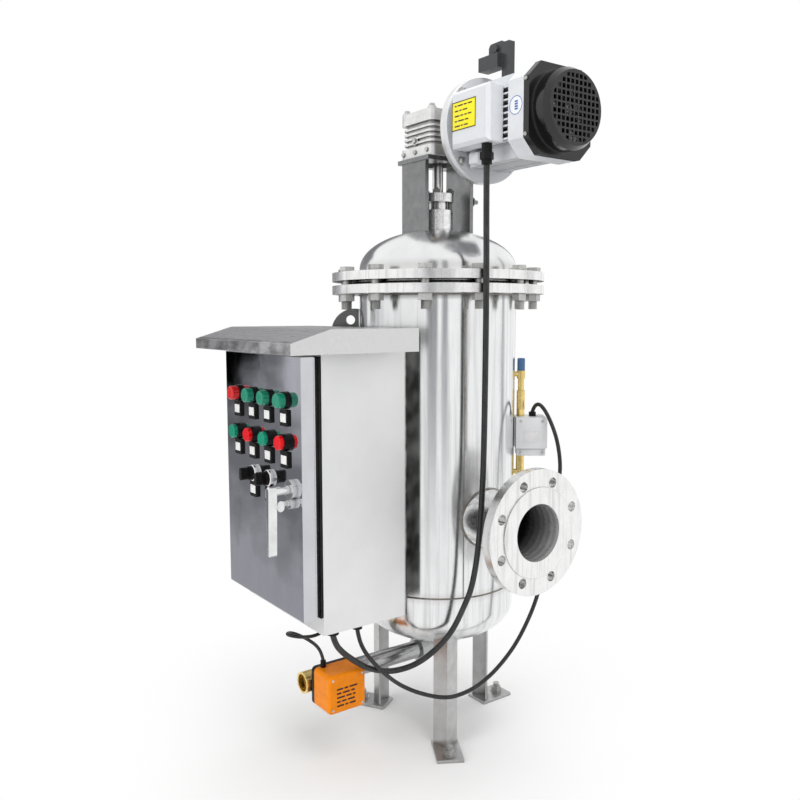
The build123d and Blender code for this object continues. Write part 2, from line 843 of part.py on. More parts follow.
# Worm between its two journals, hollow at the motor's end. Its right-handed thread starts on top
# and has a crest in the wheel's gap at rest.
thread_start = -(worm_turns + 0.25) * worm_lead
thread_long = (2 * worm_turns + 0.5) * worm_lead
thread_half = worm_lead / 4 - thread_play
thread_foot = 1.5 * gear_module
with BuildPart() as worm:
    with BuildLine() as thread_path:
        Helix(
            worm_lead,
            thread_long,
            worm_pitch_dia / 2,
            center=(thread_start, motor_y, motor_z),
            direction=(1, 0, 0),
        )
    with BuildSketch(Plane(origin=thread_path.line @ 0, x_dir=(0, 0, 1), z_dir=thread_path.line % 0)):
        Polygon(
            (gear_module, thread_half - gear_module * flank_slope),
            (-thread_foot, thread_half + thread_foot * flank_slope),
            (-thread_foot, -thread_half - thread_foot * flank_slope),
            (gear_module, -thread_half + gear_module * flank_slope),
            align=None,
        )
    sweep(path=thread_path.line, is_frenet=True)
    with BuildSketch(side_plane(-worm_half)):
        Circle(worm_root_r)
    extrude(amount=2 * worm_half)
    with BuildSketch(side_plane(-worm_half)):
        Circle(small_journal / 2)
    extrude(amount=-journal_long)
    with BuildSketch(side_plane(worm_half)):
        Circle(large_journal / 2)
    extrude(amount=input_face - worm_half - 2)
    with BuildSketch(side_plane(worm_half + 4)):
        Circle(motor_shaft / 2 + running_gap)
    extrude(amount=input_face, mode=Mode.SUBTRACT)

# Motor rotor with the shaft that carries the worm and the fan
with BuildPart() as motor_rotor:
    with BuildSketch(side_plane(worm_half + 6)):
        Circle(motor_shaft / 2)
    extrude(amount=fan_end - worm_half - 8)
    with BuildSketch(side_plane(rotor_start)):
        Circle(stator_dia / 2 - air_gap)
    extrude(amount=rotor_end - rotor_start)

# Motor body with straight fins, and the stator inside it
with BuildPart() as motor_body:
    with BuildSketch(side_plane(motor_face)):
        Circle(motor_core / 2)
    extrude(amount=motor_end - motor_face)
    with BuildSketch(side_plane(motor_start)):
        with PolarLocations(0, 4):
            for row in range(fin_count):
                with Locations((motor_half, (row - (fin_count - 1) / 2) * fin_pitch)):
                    Rectangle(motor_half / 2, fin_thick, align=(Align.MAX, Align.CENTER))
    extrude(amount=motor_end - motor_start)
    with BuildSketch(side_plane(motor_face)):
        Circle(motor_core / 2 - motor_wall)
    extrude(amount=motor_end, mode=Mode.SUBTRACT)
    with BuildSketch(side_plane(stator_start)):
        Circle(motor_core / 2 - motor_wall - weld_gap)
        Circle(stator_dia / 2, mode=Mode.SUBTRACT)
    extrude(amount=stator_end - stator_start)

# Motor end shields: the round flange on the gearbox and the octagonal bearing shield behind
with BuildPart() as end_shields:
    with BuildSketch(side_plane(input_face)):
        Circle(input_disc_dia / 2)
        Circle(motor_shaft / 2 + running_gap, mode=Mode.SUBTRACT)
    extrude(amount=motor_disc)
    with BuildSketch(side_plane(motor_end)):
        Rectangle(2 * shield_half, 2 * shield_half)
        chamfer(vertices(), length=shield_corner)
    extrude(amount=shield_end - motor_end)
    with BuildSketch(side_plane(motor_end)):
        Circle(motor_core / 2 - motor_wall)
    extrude(amount=(shield_end - motor_end) / 2, mode=Mode.SUBTRACT)
    with BuildSketch(side_plane(motor_end)):
        Circle(motor_shaft / 2 + running_gap)
    extrude(amount=shield_end, mode=Mode.SUBTRACT)

# Cooling fan behind the rear shield
with BuildPart() as cooling_fan:
    with BuildSketch(side_plane(fan_start)):
        Circle(fan_hub / 2)
        with PolarLocations(0, fan_blades):
            Rectangle(fan_dia / 2, fan_blade, align=(Align.MIN, Align.CENTER))
    extrude(amount=fan_end - fan_start)
    with BuildSketch(side_plane(fan_start)):
        Circle(motor_shaft / 2 + running_gap)
    extrude(amount=fan_end, mode=Mode.SUBTRACT)

# Fan cowl: octagonal at the motor, round behind, with a grid of square holes
grille_steps = int(grille_dia / 2 / grille_pitch)
cowl_shoulder = cowl_end - (cowl_end - shield_end - cowl_square) / 3
with BuildPart() as fan_cowl:
    with BuildSketch(side_plane(shield_end)):
        Rectangle(2 * shield_half, 2 * shield_half)
        chamfer(vertices(), length=shield_corner)
    extrude(amount=cowl_square)
    with BuildSketch(side_plane(shield_end)):
        Circle(cowl_dia / 2)
    extrude(amount=cowl_shoulder - shield_end)
    with BuildSketch(side_plane(cowl_shoulder)):
        Circle(cowl_dia / 2)
    with BuildSketch(side_plane(cowl_end)):
        Circle(cowl_face_dia / 2)
    loft()
    with BuildSketch(side_plane(shield_end)):
        Rectangle(2 * (shield_half - cowl_wall), 2 * (shield_half - cowl_wall))
        chamfer(vertices(), length=shield_corner - cowl_wall / 2)
    extrude(amount=cowl_square - cowl_wall, mode=Mode.SUBTRACT)
    with BuildSketch(side_plane(shield_end)):
        Circle(cowl_face_dia / 2 - cowl_wall)
    extrude(amount=cowl_end - cowl_wall - shield_end, mode=Mode.SUBTRACT)
    steps = [grille_pitch * step for step in range(-grille_steps, grille_steps + 1)]
    holes = [(y, z) for y in steps for z in steps if sqrt(y * y + z * z) < grille_dia / 2]
    with BuildSketch(side_plane(cowl_shoulder)):
        with Locations(*holes):
            Rectangle(grille_hole, grille_hole)
        Circle(grille_dia / 2, mode=Mode.INTERSECT)
    extrude(amount=cowl_end, mode=Mode.SUBTRACT)

# Terminal box on the side of the motor and its lid
box_back = motor_y - motor_half
box_mid = ((box_start + box_end) / 2, (box_bottom + box_top) / 2)
box_size = (box_end - box_start, box_top - box_bottom)
with BuildPart() as terminal_box:
    with BuildSketch(front_plane(-box_back)):
        with Locations(box_mid):
            RectangleRounded(*box_size, box_wall)
    extrude(amount=box_deep)
    with BuildSketch(front_plane(-box_back + box_wall)):
        with Locations(box_mid):
            Rectangle(box_size[0] - 2 * box_wall, box_size[1] - 2 * box_wall)
    extrude(amount=box_deep, mode=Mode.SUBTRACT)

with BuildPart() as terminal_lid:
    with BuildSketch(front_plane(-box_back + box_deep)):
        with Locations(box_mid):
            Rectangle(*box_size)
    extrude(amount=lid_deep)
    chamfer(faces().sort_by(Axis.Y)[0].edges(), length=lid_chamfer)

# Black bracket on top of the motor: a foot, an upright post, a bar and a bolted plate
motor_top = motor_z + motor_half
post_top = motor_top + post_high
with BuildPart() as motor_bracket:
    with BuildSketch(Plane.XY.offset(motor_top)):
        with Locations((post_x, motor_y)):
            Rectangle(post_wide * 2, post_thick * 2)
    extrude(amount=post_foot)
    with BuildSketch(Plane.XY.offset(motor_top)):
        with Locations((post_x, motor_y)):
            Rectangle(post_wide, post_thick)
    extrude(amount=post_high)
    with BuildSketch(Plane.XY.offset(post_top - top_bar_drop)):
        with Locations((post_x - post_wide / 2, motor_y - top_bar_deep / 4)):
            Rectangle(top_bar_long, top_bar_deep, align=(Align.MAX, Align.CENTER))
    extrude(amount=top_bar_high)
    with BuildSketch(front_plane(2 - motor_y - top_plate_thick)):
        with Locations((post_x - post_wide / 2, post_top - top_plate_drop)):
            Rectangle(top_plate_wide, top_plate_high, align=(Align.MAX, Align.MIN))
            fillet(vertices().group_by(Axis.Y)[-1], radius=top_plate_corner)
    extrude(amount=top_plate_thick)
    with BuildSketch(front_plane(2 - motor_y)):
        top_plate_x = post_x - (post_wide + top_plate_wide) / 2
        with Locations((top_plate_x, post_top + top_plate_high / 2 - top_plate_drop)):
            RegularPolygon(top_bolt, 6)
    extrude(amount=top_bolt * 0.7)

# Partition plate with its spider and bush, and the shelf ring that holds the screen's top
shelf_z = screen_top - screen_flange - shelf_thick
with BuildPart() as partition_plate:
    with BuildSketch(Plane.XY.offset(partition_z)):
        Circle(inner_r - weld_gap)
        Circle(partition_hole / 2, mode=Mode.SUBTRACT)
        with PolarLocations(0, spider_arms, start_angle=leg_turn):
            Rectangle(partition_hole / 2 + spider_wide, spider_wide, align=(Align.MIN, Align.CENTER))
    extrude(amount=partition_thick)
    with BuildSketch(Plane.XY.offset(partition_z - (bush_high - partition_thick) / 2 - 2)):
        Circle(bush_dia / 2)
    extrude(amount=bush_high)
    with BuildSketch(Plane.XY.offset(shaft_bottom)):
        Circle(shaft_dia / 2 + running_gap)
    extrude(amount=bush_high * 2, mode=Mode.SUBTRACT)
    with BuildSketch(Plane.XY.offset(shelf_z)):
        Circle(inner_r - weld_gap)
        Circle(shelf_bore / 2, mode=Mode.SUBTRACT)
    extrude(amount=shelf_thick)

# Screen of upright bars inside rings, with a flange that lies on the shelf
screen_bottom = partition_z + partition_thick
with BuildPart() as filter_screen:
    ring_step = (screen_top - screen_flange - screen_bottom) / screen_rings
    with BuildSketch(*[Plane.XY.offset(screen_bottom + ring * ring_step) for ring in range(screen_rings)]):
        Circle(screen_out_r)
        Circle(screen_bore / 2 + screen_wire, mode=Mode.SUBTRACT)
    extrude(amount=screen_flange)
    with BuildSketch(Plane.XY.offset(screen_top - screen_flange)):
        Circle(screen_flange_od / 2)
        Circle(screen_bore / 2 + screen_wire, mode=Mode.SUBTRACT)
    extrude(amount=screen_flange)
    with BuildSketch(Plane.XY.offset(screen_bottom)):
        with PolarLocations(screen_bore / 2 + (screen_wire + 1) / 2, screen_bars):
            Rectangle(screen_wire + 1, screen_bar)
    extrude(amount=screen_top - screen_bottom)

# Brush shaft with its arms and the channel bars that hold the bristles
with BuildPart() as brush_shaft:
    with BuildSketch(Plane.XY.offset(shaft_bottom)):
        Circle(shaft_dia / 2)
    extrude(amount=shaft_top - shaft_bottom)
    for height in brush_arm_z:
        with BuildSketch(Plane.XY.offset(height - brush_arm / 2)):
            Circle(shaft_dia / 2 + 6)
            Rectangle(2 * holder_r + 2, brush_arm)
        extrude(amount=brush_arm)
    with BuildSketch(Plane.XY.offset(brush_bottom)):
        with PolarLocations(holder_r + holder_deep / 2, 2):
            Rectangle(holder_deep, holder_wide)
        with PolarLocations(strip_root, 2):
            Rectangle(holder_deep, strip_wide, align=(Align.MIN, Align.CENTER), mode=Mode.SUBTRACT)
    extrude(amount=brush_top - brush_bottom)

# Bristle strips that reach almost to the screen
with BuildPart() as brush_strips:
    with BuildSketch(Plane.XY.offset(brush_bottom)):
        with PolarLocations(strip_root, 2):
            Rectangle(strip_tip - strip_root, strip_wide, align=(Align.MIN, Align.CENTER))
        Circle(strip_tip, mode=Mode.INTERSECT)
    extrude(amount=brush_top - brush_bottom)

# Cabinet body: a welded sheet box with a doorway and a raised sealing rim
cab_place = (cab_mid_x, cab_mid_z)
door_place = (cab_mid_x, door_mid_z)
with BuildPart() as cabinet_body:
    with BuildSketch(front_plane(cab_back)):
        with Locations(cab_place):
            Rectangle(cab_wide, cab_top - cab_bottom)
    extrude(amount=cab_front - cab_back)
    with BuildSketch(front_plane(cab_front)):
        with Locations(door_place):
            Rectangle(cab_wide - 2 * rim_inset, door_high - 2 * rim_inset)
    extrude(amount=rim_high)
    with BuildSketch(front_plane(cab_back + cab_sheet)):
        with Locations(cab_place):
            Rectangle(cab_wide - 2 * cab_sheet, cab_top - cab_bottom - 2 * cab_sheet)
    extrude(amount=cab_front - cab_back - 2 * cab_sheet, mode=Mode.SUBTRACT)
    with BuildSketch(front_plane(cab_back + cab_sheet)):
        with Locations(door_place):
            Rectangle(cab_wide - 2 * doorway_inset, door_high - 2 * doorway_inset)
    extrude(amount=cab_front - cab_back + rim_high, mode=Mode.SUBTRACT)

# Rain hood: a folded sheet open below and behind, resting on the cabinet
hood_top = cab_top + hood_sheet
with BuildPart() as cabinet_hood:
    with BuildSketch(Plane.YZ.offset(hood_left)):
        Polygon(
            (-hood_back, hood_bottom),
            (-hood_front, hood_bottom),
            (-hood_front, hood_lip),
            (-hood_slope_end, hood_top),
            (-hood_back, hood_top),
            align=None,
        )
    extrude(amount=hood_right - hood_left)
    with BuildSketch(Plane.YZ.offset(hood_left + hood_sheet)):
        Polygon(
            (0, 0),
            (hood_sheet - hood_front, 0),
            (hood_sheet - hood_front, hood_lip - hood_sheet),
            (-hood_slope_end, cab_top),
            (0, cab_top),
            align=None,
        )
    extrude(amount=hood_right - hood_left - 2 * hood_sheet, mode=Mode.SUBTRACT)

# Door: a shallow tray with an inner frame, holes for the controls and its hinge knuckles
leaf_x = cab_left - leaf_thick / 2
control_places = [(x, lamp_z) for x in control_xs]
control_places += [(x, button_z) for x in control_xs]
control_places += [(x, selector_z) for x in selector_xs]
handle_place = (handle_x, handle_z)
with BuildPart() as cabinet_door:
    with BuildSketch(front_plane(door_back)):
        with Locations(door_place):
            Rectangle(cab_wide, door_high)
            Rectangle(cab_wide - 2 * cab_sheet, door_high - 2 * cab_sheet, mode=Mode.SUBTRACT)
    extrude(amount=door_face - door_back)
    with BuildSketch(front_plane(door_face - cab_sheet)):
        with Locations(door_place):
            Rectangle(cab_wide, door_high)
        with Locations(*control_places, handle_place):
            Circle(control_hole / 2, mode=Mode.SUBTRACT)
    extrude(amount=cab_sheet)
    with BuildSketch(front_plane(door_back - door_frame_proud)):
        with Locations(door_place):
            Rectangle(cab_wide - 2 * door_frame_inset, door_high - 2 * door_frame_inset)
            Rectangle(cab_wide - 2 * doorway_inset, door_high - 2 * doorway_inset, mode=Mode.SUBTRACT)
    extrude(amount=door_frame_proud + cab_sheet)
    for height in hinge_zs:
        with BuildSketch(Plane.XY.offset(height + knuckle_high + free_gap)):
            with Locations((hinge_x, -hinge_depth)):
                Circle(knuckle_dia / 2)
            with Locations((leaf_x, -hinge_depth)):
                Rectangle(leaf_thick, door_face - hinge_depth - cab_sheet, align=(Align.CENTER, Align.MAX))
            with Locations((hinge_x, -hinge_depth)):
                Circle(hinge_pin / 2 + running_gap, mode=Mode.SUBTRACT)
        extrude(amount=knuckle_high - 2 * free_gap)

# Door gasket on the inner frame
with BuildPart() as door_gasket:
    with BuildSketch(front_plane(cab_front + rim_high + seat_gap)):
        with Locations(door_place):
            Rectangle(cab_wide - 2 * gasket_inset, door_high - 2 * gasket_inset)
            band = gasket_inset + gasket_wide
            Rectangle(cab_wide - 2 * band, door_high - 2 * band, mode=Mode.SUBTRACT)
    extrude(amount=door_back - door_frame_proud - cab_front - rim_high - seat_gap)

# Cabinet hardware: hinge leaves with their knuckles, the pins, and the brackets on the shell
with BuildPart() as cabinet_hardware:
    for height in hinge_zs:
        for level in (height, height + 2 * knuckle_high):
            with BuildSketch(Plane.XY.offset(level)):
                with Locations((hinge_x, -hinge_depth)):
                    Circle(knuckle_dia / 2)
                with Locations((leaf_x, -hinge_depth)):
                    Rectangle(leaf_thick, knuckle_dia * 1.5, align=(Align.CENTER, Align.MIN))
                with Locations((hinge_x, -hinge_depth)):
                    Circle(hinge_pin / 2 + running_gap, mode=Mode.SUBTRACT)
            extrude(amount=knuckle_high)
        with BuildSketch(Plane.XY.offset(height)):
            with Locations((leaf_x, -cab_front)):
                Rectangle(leaf_thick, leaf_deep, align=(Align.CENTER, Align.MIN))
        extrude(amount=3 * knuckle_high)
        with BuildSketch(Plane.XY.offset(height)):
            with Locations((hinge_x, -hinge_depth)):
                Circle(hinge_pin / 2)
        extrude(amount=3 * knuckle_high)
    for height in bar_zs:
        with BuildSketch(Plane.XY.offset(height)):
            with Locations((cab_mid_x, -cab_back)):
                Rectangle(bar_long, bar_thick, align=(Align.CENTER, Align.MIN))
            with Locations((ear_x, -cab_back), (-ear_x, -cab_back)):
                Rectangle(bar_thick, cab_back, align=(Align.CENTER, Align.MIN))
            Circle(shell_r + weld_gap, mode=Mode.SUBTRACT)
            with Locations((0, 0)):
                Rectangle(bar_long * 2, shell_r, align=(Align.CENTER, Align.CENTER), mode=Mode.SUBTRACT)
        extrude(amount=bar_high)

# Mounting plate in the cabinet with the control gear on two rails
panel_depth = cab_back + cab_sheet + panel_gap
rail_front = panel_depth + panel_thick + rail_thick
post_span = 2 * (panel_side + panel_post_in)
with BuildPart() as control_panel:
    with BuildSketch(front_plane(panel_depth)):
        with Locations(cab_place):
            Rectangle(cab_wide - 2 * panel_side, cab_top - cab_bottom - 2 * panel_end)
    extrude(amount=panel_thick)
    with BuildSketch(front_plane(cab_back + cab_sheet)):
        with Locations(cab_place):
            with GridLocations(cab_wide - post_span, cab_top - cab_bottom - post_span, 2, 2):
                Circle(panel_post_dia / 2)
    extrude(amount=panel_gap)
    with BuildSketch(front_plane(panel_depth + panel_thick)):
        with Locations(*[(cab_mid_x, height) for height in rail_zs]):
            Rectangle(cab_wide - 2 * rail_side, rail_high)
    extrude(amount=rail_thick)
    with BuildSketch(front_plane(rail_front)):
        with Locations((cab_mid_x, rail_zs[0])):
            with GridLocations(breaker_pitch, 1, breaker_count, 1):
                Rectangle(breaker_wide, breaker_high)
        with Locations((cab_mid_x, rail_zs[1])):
            with GridLocations(contactor_pitch, 1, 2, 1):
                Rectangle(contactor_wide, contactor_high)
    extrude(amount=breaker_deep)
    with BuildSketch(front_plane(rail_front)):
        with Locations((cab_mid_x, rail_zs[2])):
            Rectangle(terminal_row, terminal_high)
    extrude(amount=terminal_deep)

# Black bezels of the lamps and buttons with their barrels, and the label holders
label_places = [(x, z - label_drop) for x, z in control_places]
with BuildPart() as control_bezels:
    with BuildSketch(front_plane(door_face)):
        with Locations(*[(x, lamp_z) for x in control_xs]):
            Circle(bezel_dia / 2)
            Circle(control_bore / 2, mode=Mode.SUBTRACT)
    extrude(amount=bezel_high)
    with BuildSketch(front_plane(door_face)):
        with Locations(*[(x, button_z) for x in control_xs]):
            Circle(bezel_dia / 2)
            Circle(control_bore / 2, mode=Mode.SUBTRACT)
    extrude(amount=button_bezel_high)
    with BuildSketch(front_plane(door_face + button_bezel_high / 3)):
        with Locations(*[(x, button_z) for x in control_xs]):
            Circle(cap_dia / 2 + free_gap)
    extrude(amount=button_bezel_high, mode=Mode.SUBTRACT)
    with BuildSketch(front_plane(door_face)):
        with Locations(*control_places[:8]):
            Circle((control_hole - 0.5) / 2)
            Circle(control_bore / 2, mode=Mode.SUBTRACT)
    extrude(amount=-barrel_long)
    with BuildSketch(front_plane(door_face)):
        with Locations(*label_places):
            RectangleRounded(label_wide, label_high, 2)
    extrude(amount=label_thick)

# Lamp lenses: plain domes with a stem that holds the bulb
with BuildPart() as lamp_lenses:
    with BuildSketch(front_plane(door_face + bezel_high)):
        with Locations(*[(x, lamp_z) for x in control_xs]):
            Circle(lens_dia / 2)
    extrude(amount=lens_out - bezel_high)
    fillet(faces().group_by(Axis.Y)[0].edges(), radius=4)
    with BuildSketch(front_plane(door_face + bezel_high)):
        with Locations(*[(x, lamp_z) for x in control_xs]):
            Circle(stem_dia / 2)
    extrude(amount=-barrel_long)


def make_button(x):
    """Round push button cap with the stem that runs in its barrel"""
    with BuildPart() as button:
        with BuildSketch(front_plane(door_face + cap_out - cap_high)):
            with Locations((x, button_z)):
                Circle(cap_dia / 2)
        extrude(amount=cap_high)
        chamfer(faces().sort_by(Axis.Y)[0].edges(), length=1.5)
        with BuildSketch(front_plane(door_face + cap_out - cap_high)):
            with Locations((x, button_z)):
                Circle(stem_dia / 2)
        extrude(amount=-barrel_long)
    return button


push_buttons = [make_button(x) for x in control_xs]

# Chromed bezels of the selector switches
with BuildPart() as selector_bezels:
    with BuildSketch(front_plane(door_face)):
        with Locations(*[(x, selector_z) for x in selector_xs]):
            Circle(bezel_dia / 2)
            Circle(control_bore / 2, mode=Mode.SUBTRACT)
    extrude(amount=bezel_high + 2)
    front_edges = faces().group_by(Axis.Y)[0].edges()
    chamfer(front_edges.filter_by(lambda e: e.radius > control_bore / 2), length=1.5)
    with BuildSketch(front_plane(door_face)):
        with Locations(*[(x, selector_z) for x in selector_xs]):
            Circle((control_hole - 0.5) / 2)
            Circle(control_bore / 2, mode=Mode.SUBTRACT)
    extrude(amount=-barrel_long)


def make_selector(x):
    """Selector knob: a disc with a raised grip and a stem"""
    start = door_face + bezel_high + 2 + free_gap
    with BuildPart() as selector:
        with BuildSketch(front_plane(start)):
            with Locations((x, selector_z)):
                Circle(cap_dia / 2)
        extrude(amount=knob_disc)
        with BuildSketch(front_plane(start)):
            with Locations((x, selector_z)):
                SlotOverall(cap_dia - grip_wide / 4, grip_wide, rotation=90)
        extrude(amount=door_face + knob_out - start)
        with BuildSketch(front_plane(start)):
            with Locations((x, selector_z)):
                Circle(stem_dia / 2)
        extrude(amount=-barrel_long)
    return selector


selector_knobs = [make_selector(x) for x in selector_xs]

# Base of the swing handle with its bearing barrel, the lock below it and the key
lock_place = (handle_x, handle_z - lock_drop)
with BuildPart() as handle_base:
    with BuildSketch(front_plane(door_face)):
        with Locations(handle_place):
            Circle(handle_base_dia / 2)
        with Locations(lock_place):
            Circle(lock_dia)
    extrude(amount=handle_base_high)
    with BuildSketch(front_plane(door_face)):
        with Locations(handle_place):
            Circle((control_hole - 0.5) / 2)
    extrude(amount=-handle_base_high)
    with BuildSketch(front_plane(door_face + handle_base_high)):
        with Locations(handle_place):
            Circle(spindle_dia / 2 + running_gap)
    extrude(amount=-3 * handle_base_high, mode=Mode.SUBTRACT)
    with BuildSketch(front_plane(door_face + handle_base_high)):
        with Locations(lock_place):
            Circle(lock_dia / 2)
    extrude(amount=3)
    with BuildSketch(front_plane(door_face + handle_base_high)):
        with Locations(lock_place):
            Rectangle(key_thick, 8)
    extrude(amount=10)
    with BuildSketch(Plane.YZ.offset(handle_x - key_thick / 2)):
        with Locations((-door_face - handle_base_high - 14, lock_place[1] - 4)):
            Ellipse(7, 9)
    extrude(amount=key_thick)

# Swing handle: spindle through the door, latch tongue behind the lip, grip hanging down
tongue_start = lip_inside - tongue_gap - tongue_thick
grip_top = (handle_x, handle_z + handle_over - handle_wide / 2)
grip_end = (handle_x, handle_z + handle_over - handle_long + handle_tip / 2)
with BuildPart() as door_handle:
    with BuildSketch(front_plane(tongue_start)):
        with Locations(handle_place):
            Circle(spindle_dia / 2)
    extrude(amount=handle_start - tongue_start)
    with BuildSketch(front_plane(tongue_start)):
        with Locations((handle_x - tongue_wide / 2, handle_z)):
            Rectangle(tongue_long + tongue_wide / 2, tongue_wide, align=(Align.MIN, Align.CENTER))
    extrude(amount=tongue_thick)
    with BuildSketch(front_plane(handle_start)):
        with Locations(grip_top):
            Circle(handle_wide / 2)
        with Locations(grip_end):
            Circle(handle_tip / 2)
        make_hull()
    extrude(amount=handle_thick)
    chamfer(faces().sort_by(Axis.Y)[0].edges(), length=2.5)

# Drain line: elbow, coupling and pipe, bored through
with BuildPart() as drain_line:
    drain_start = head_tangent - head_depth + shell_wall + 2
    with BuildLine() as drain_path:
        FilletPolyline(
            (0, 0, drain_start),
            (0, 0, drain_z),
            (0, -valve_start - valve_socket, drain_z),
            radius=elbow_r,
        )
    with BuildSketch(Plane(origin=(0, 0, drain_start), x_dir=(1, 0, 0), z_dir=(0, 0, -1))):
        Circle(drain_od / 2)
        Circle(drain_bore / 2, mode=Mode.SUBTRACT)
    sweep(path=drain_path.wire())
    with BuildSketch(front_plane(elbow_r)):
        with Locations((0, drain_z)):
            Circle(coupling_od / 2)
            Circle(drain_od / 2 - 1, mode=Mode.SUBTRACT)
    extrude(amount=coupling_long)

# Brass ball valve body with hexagon ends
valve_mid = (valve_start + valve_end) / 2
with BuildPart() as valve_body:
    with BuildSketch(front_plane(valve_start)):
        with Locations((0, drain_z)):
            Circle(valve_house / 2)
    extrude(amount=valve_end - valve_start)
    with BuildSketch(front_plane(valve_start), front_plane(valve_end - valve_hex_long)):
        with Locations((0, drain_z)):
            RegularPolygon(valve_hex / 2, 6, major_radius=False, rotation=30)
    extrude(amount=valve_hex_long)
    with BuildSketch(Plane.YZ):
        with Locations((-valve_mid, drain_z)):
            Circle(valve_stem / 2 + 5)
    extrude(amount=act_start)
    with BuildSketch(front_plane(valve_start)):
        with Locations((0, drain_z)):
            Circle(valve_bore / 2)
    extrude(amount=valve_end - valve_start, mode=Mode.SUBTRACT)
    with BuildSketch(front_plane(valve_start)):
        with Locations((0, drain_z)):
            Circle(drain_od / 2 + weld_gap)
    extrude(amount=valve_socket, mode=Mode.SUBTRACT)
    with BuildSketch(front_plane(valve_end)):
        with Locations((0, drain_z)):
            Circle(drain_thread / 2)
    extrude(amount=-drain_thread_long, mode=Mode.SUBTRACT)
    with BuildSketch(Plane.YZ):
        with Locations((-valve_mid, drain_z)):
            Circle(valve_stem / 2 + running_gap)
    extrude(amount=act_start, mode=Mode.SUBTRACT)
    with Locations((0, -valve_mid, drain_z)):
        Sphere(valve_ball_dia / 2 + free_gap, rotation=(90, 0, 180), mode=Mode.SUBTRACT)

# Bored ball with its stem
with BuildPart() as valve_ball:
    with Locations((0, -valve_mid, drain_z)):
        Sphere(valve_ball_dia / 2, rotation=(90, 0, 180))
    with BuildSketch(Plane.YZ):
        with Locations((-valve_mid, drain_z)):
            Circle(valve_stem / 2)
    extrude(amount=act_start + stem_into_base)
    with BuildSketch(front_plane(valve_start)):
        with Locations((0, drain_z)):
            Circle(valve_bore / 2)
    extrude(amount=valve_end - valve_start, mode=Mode.SUBTRACT)

# Valve actuator: black base on the valve and an orange cover
act_mid = (-(act_back + act_front) / 2, (act_bottom + act_top) / 2)
act_size = (act_front - act_back, act_top - act_bottom)
with BuildPart() as actuator_base:
    with BuildSketch(Plane.YZ.offset(act_start)):
        with Locations(act_mid):
            RectangleRounded(*act_size, act_corner)
        with Locations((-valve_mid, drain_z)):
            Circle(valve_stem / 2 + running_gap, mode=Mode.SUBTRACT)
    extrude(amount=act_base)

with BuildPart() as actuator_cover:
    with BuildSketch(Plane.YZ.offset(act_start + act_base)):
        with Locations(act_mid):
            RectangleRounded(*act_size, act_corner)
    extrude(amount=act_end - act_start - act_base)
    fillet(faces().sort_by(Axis.X)[-1].edges(), radius=5)

# Differential pressure switch housing beside its pipe column
switch_plane = radial_plane(switch_turn)
with BuildPart() as pressure_switch:
    with BuildSketch(switch_plane):
        with Locations((switch_mid, (switch_bottom + switch_top) / 2)):
            Rectangle(switch_far - switch_near, switch_top - switch_bottom)
            fillet(vertices().group_by(Axis.X)[-1], radius=4)
    extrude(amount=switch_wide / 2, both=True)
    with BuildSketch(switch_plane):
        with Locations((switch_mid, switch_bottom)):
            strip_high = switch_bottom - strip_bottom
            Rectangle(switch_far - switch_near - 6, strip_high, align=(Align.CENTER, Align.MAX))
    extrude(amount=switch_wide / 2 - 3, both=True)

# Brass fittings: a column of pipe, nuts and two nipples into the shell
column_plane = Plane(origin=switch_plane.from_local_coords((column_r, 0, 0)), z_dir=(0, 0, 1))
with BuildPart() as switch_fittings:
    with BuildSketch(column_plane.offset(switch_top)):
        Circle(column_dia / 2)
    extrude(amount=knob_bottom - switch_top - free_gap)
    with BuildSketch(column_plane.offset(switch_top)):
        RegularPolygon(8, 6)
    extrude(amount=14)
    with BuildSketch(column_plane.offset(switch_top + 14)):
        Circle(8)
    extrude(amount=36)
    with BuildSketch(column_plane.offset(upper_tap - 9)):
        Circle(8)
    extrude(amount=knob_bottom - free_gap - upper_tap + 9)
    with BuildSketch(column_plane.offset(strip_bottom)):
        Circle(8)
    extrude(amount=lower_tap - 8 - strip_bottom)
    nipple_plane = Plane(switch_plane.origin, x_dir=(0, 0, 1), z_dir=switch_plane.x_dir)
    with BuildSketch(nipple_plane):
        with Locations((upper_tap, 0), (lower_tap, 0)):
            Circle(5)
    extrude(amount=column_r)
    Cylinder(shell_r + weld_gap, cab_top * 3, mode=Mode.SUBTRACT)

# Blue knob of the upper tap
with BuildPart() as tap_knob:
    with BuildSketch(column_plane.offset(knob_bottom)):
        Circle(knob_dia / 2)
    extrude(amount=knob_top - knob_bottom)
    chamfer(faces().sort_by(Axis.Z)[-1].edges(), length=1.5)

# Cable glands on the terminal box, the cabinet floor, the valve actuator and the switch
box_floor = box_bottom
with BuildPart() as cable_glands:
    with BuildSketch(Plane.XY.offset(motor_gland_bottom)):
        with Locations(motor_gland):
            Circle(9)
    extrude(amount=box_floor - motor_gland_bottom)
    with BuildSketch(Plane.XY.offset(motor_gland_bottom + 8)):
        with Locations(motor_gland):
            RegularPolygon(12, 6)
    extrude(amount=12)
    for x, y, high, size in cabinet_glands:
        with BuildSketch(Plane.XY.offset(cab_bottom)):
            with Locations((x, y)):
                Circle(size / 2)
        extrude(amount=-high)
    with BuildSketch(Plane.XY.offset(act_top)):
        with Locations(valve_gland):
            Circle(5)
    extrude(amount=valve_gland_high)
    switch_entry = switch_plane.from_local_coords((switch_gland_r, switch_top, 0))
    with BuildSketch(Plane(switch_entry, z_dir=(0, 0, 1))):
        Circle(7)
    extrude(amount=switch_gland_high)

# Cables: points chosen by hand along the route that each one takes


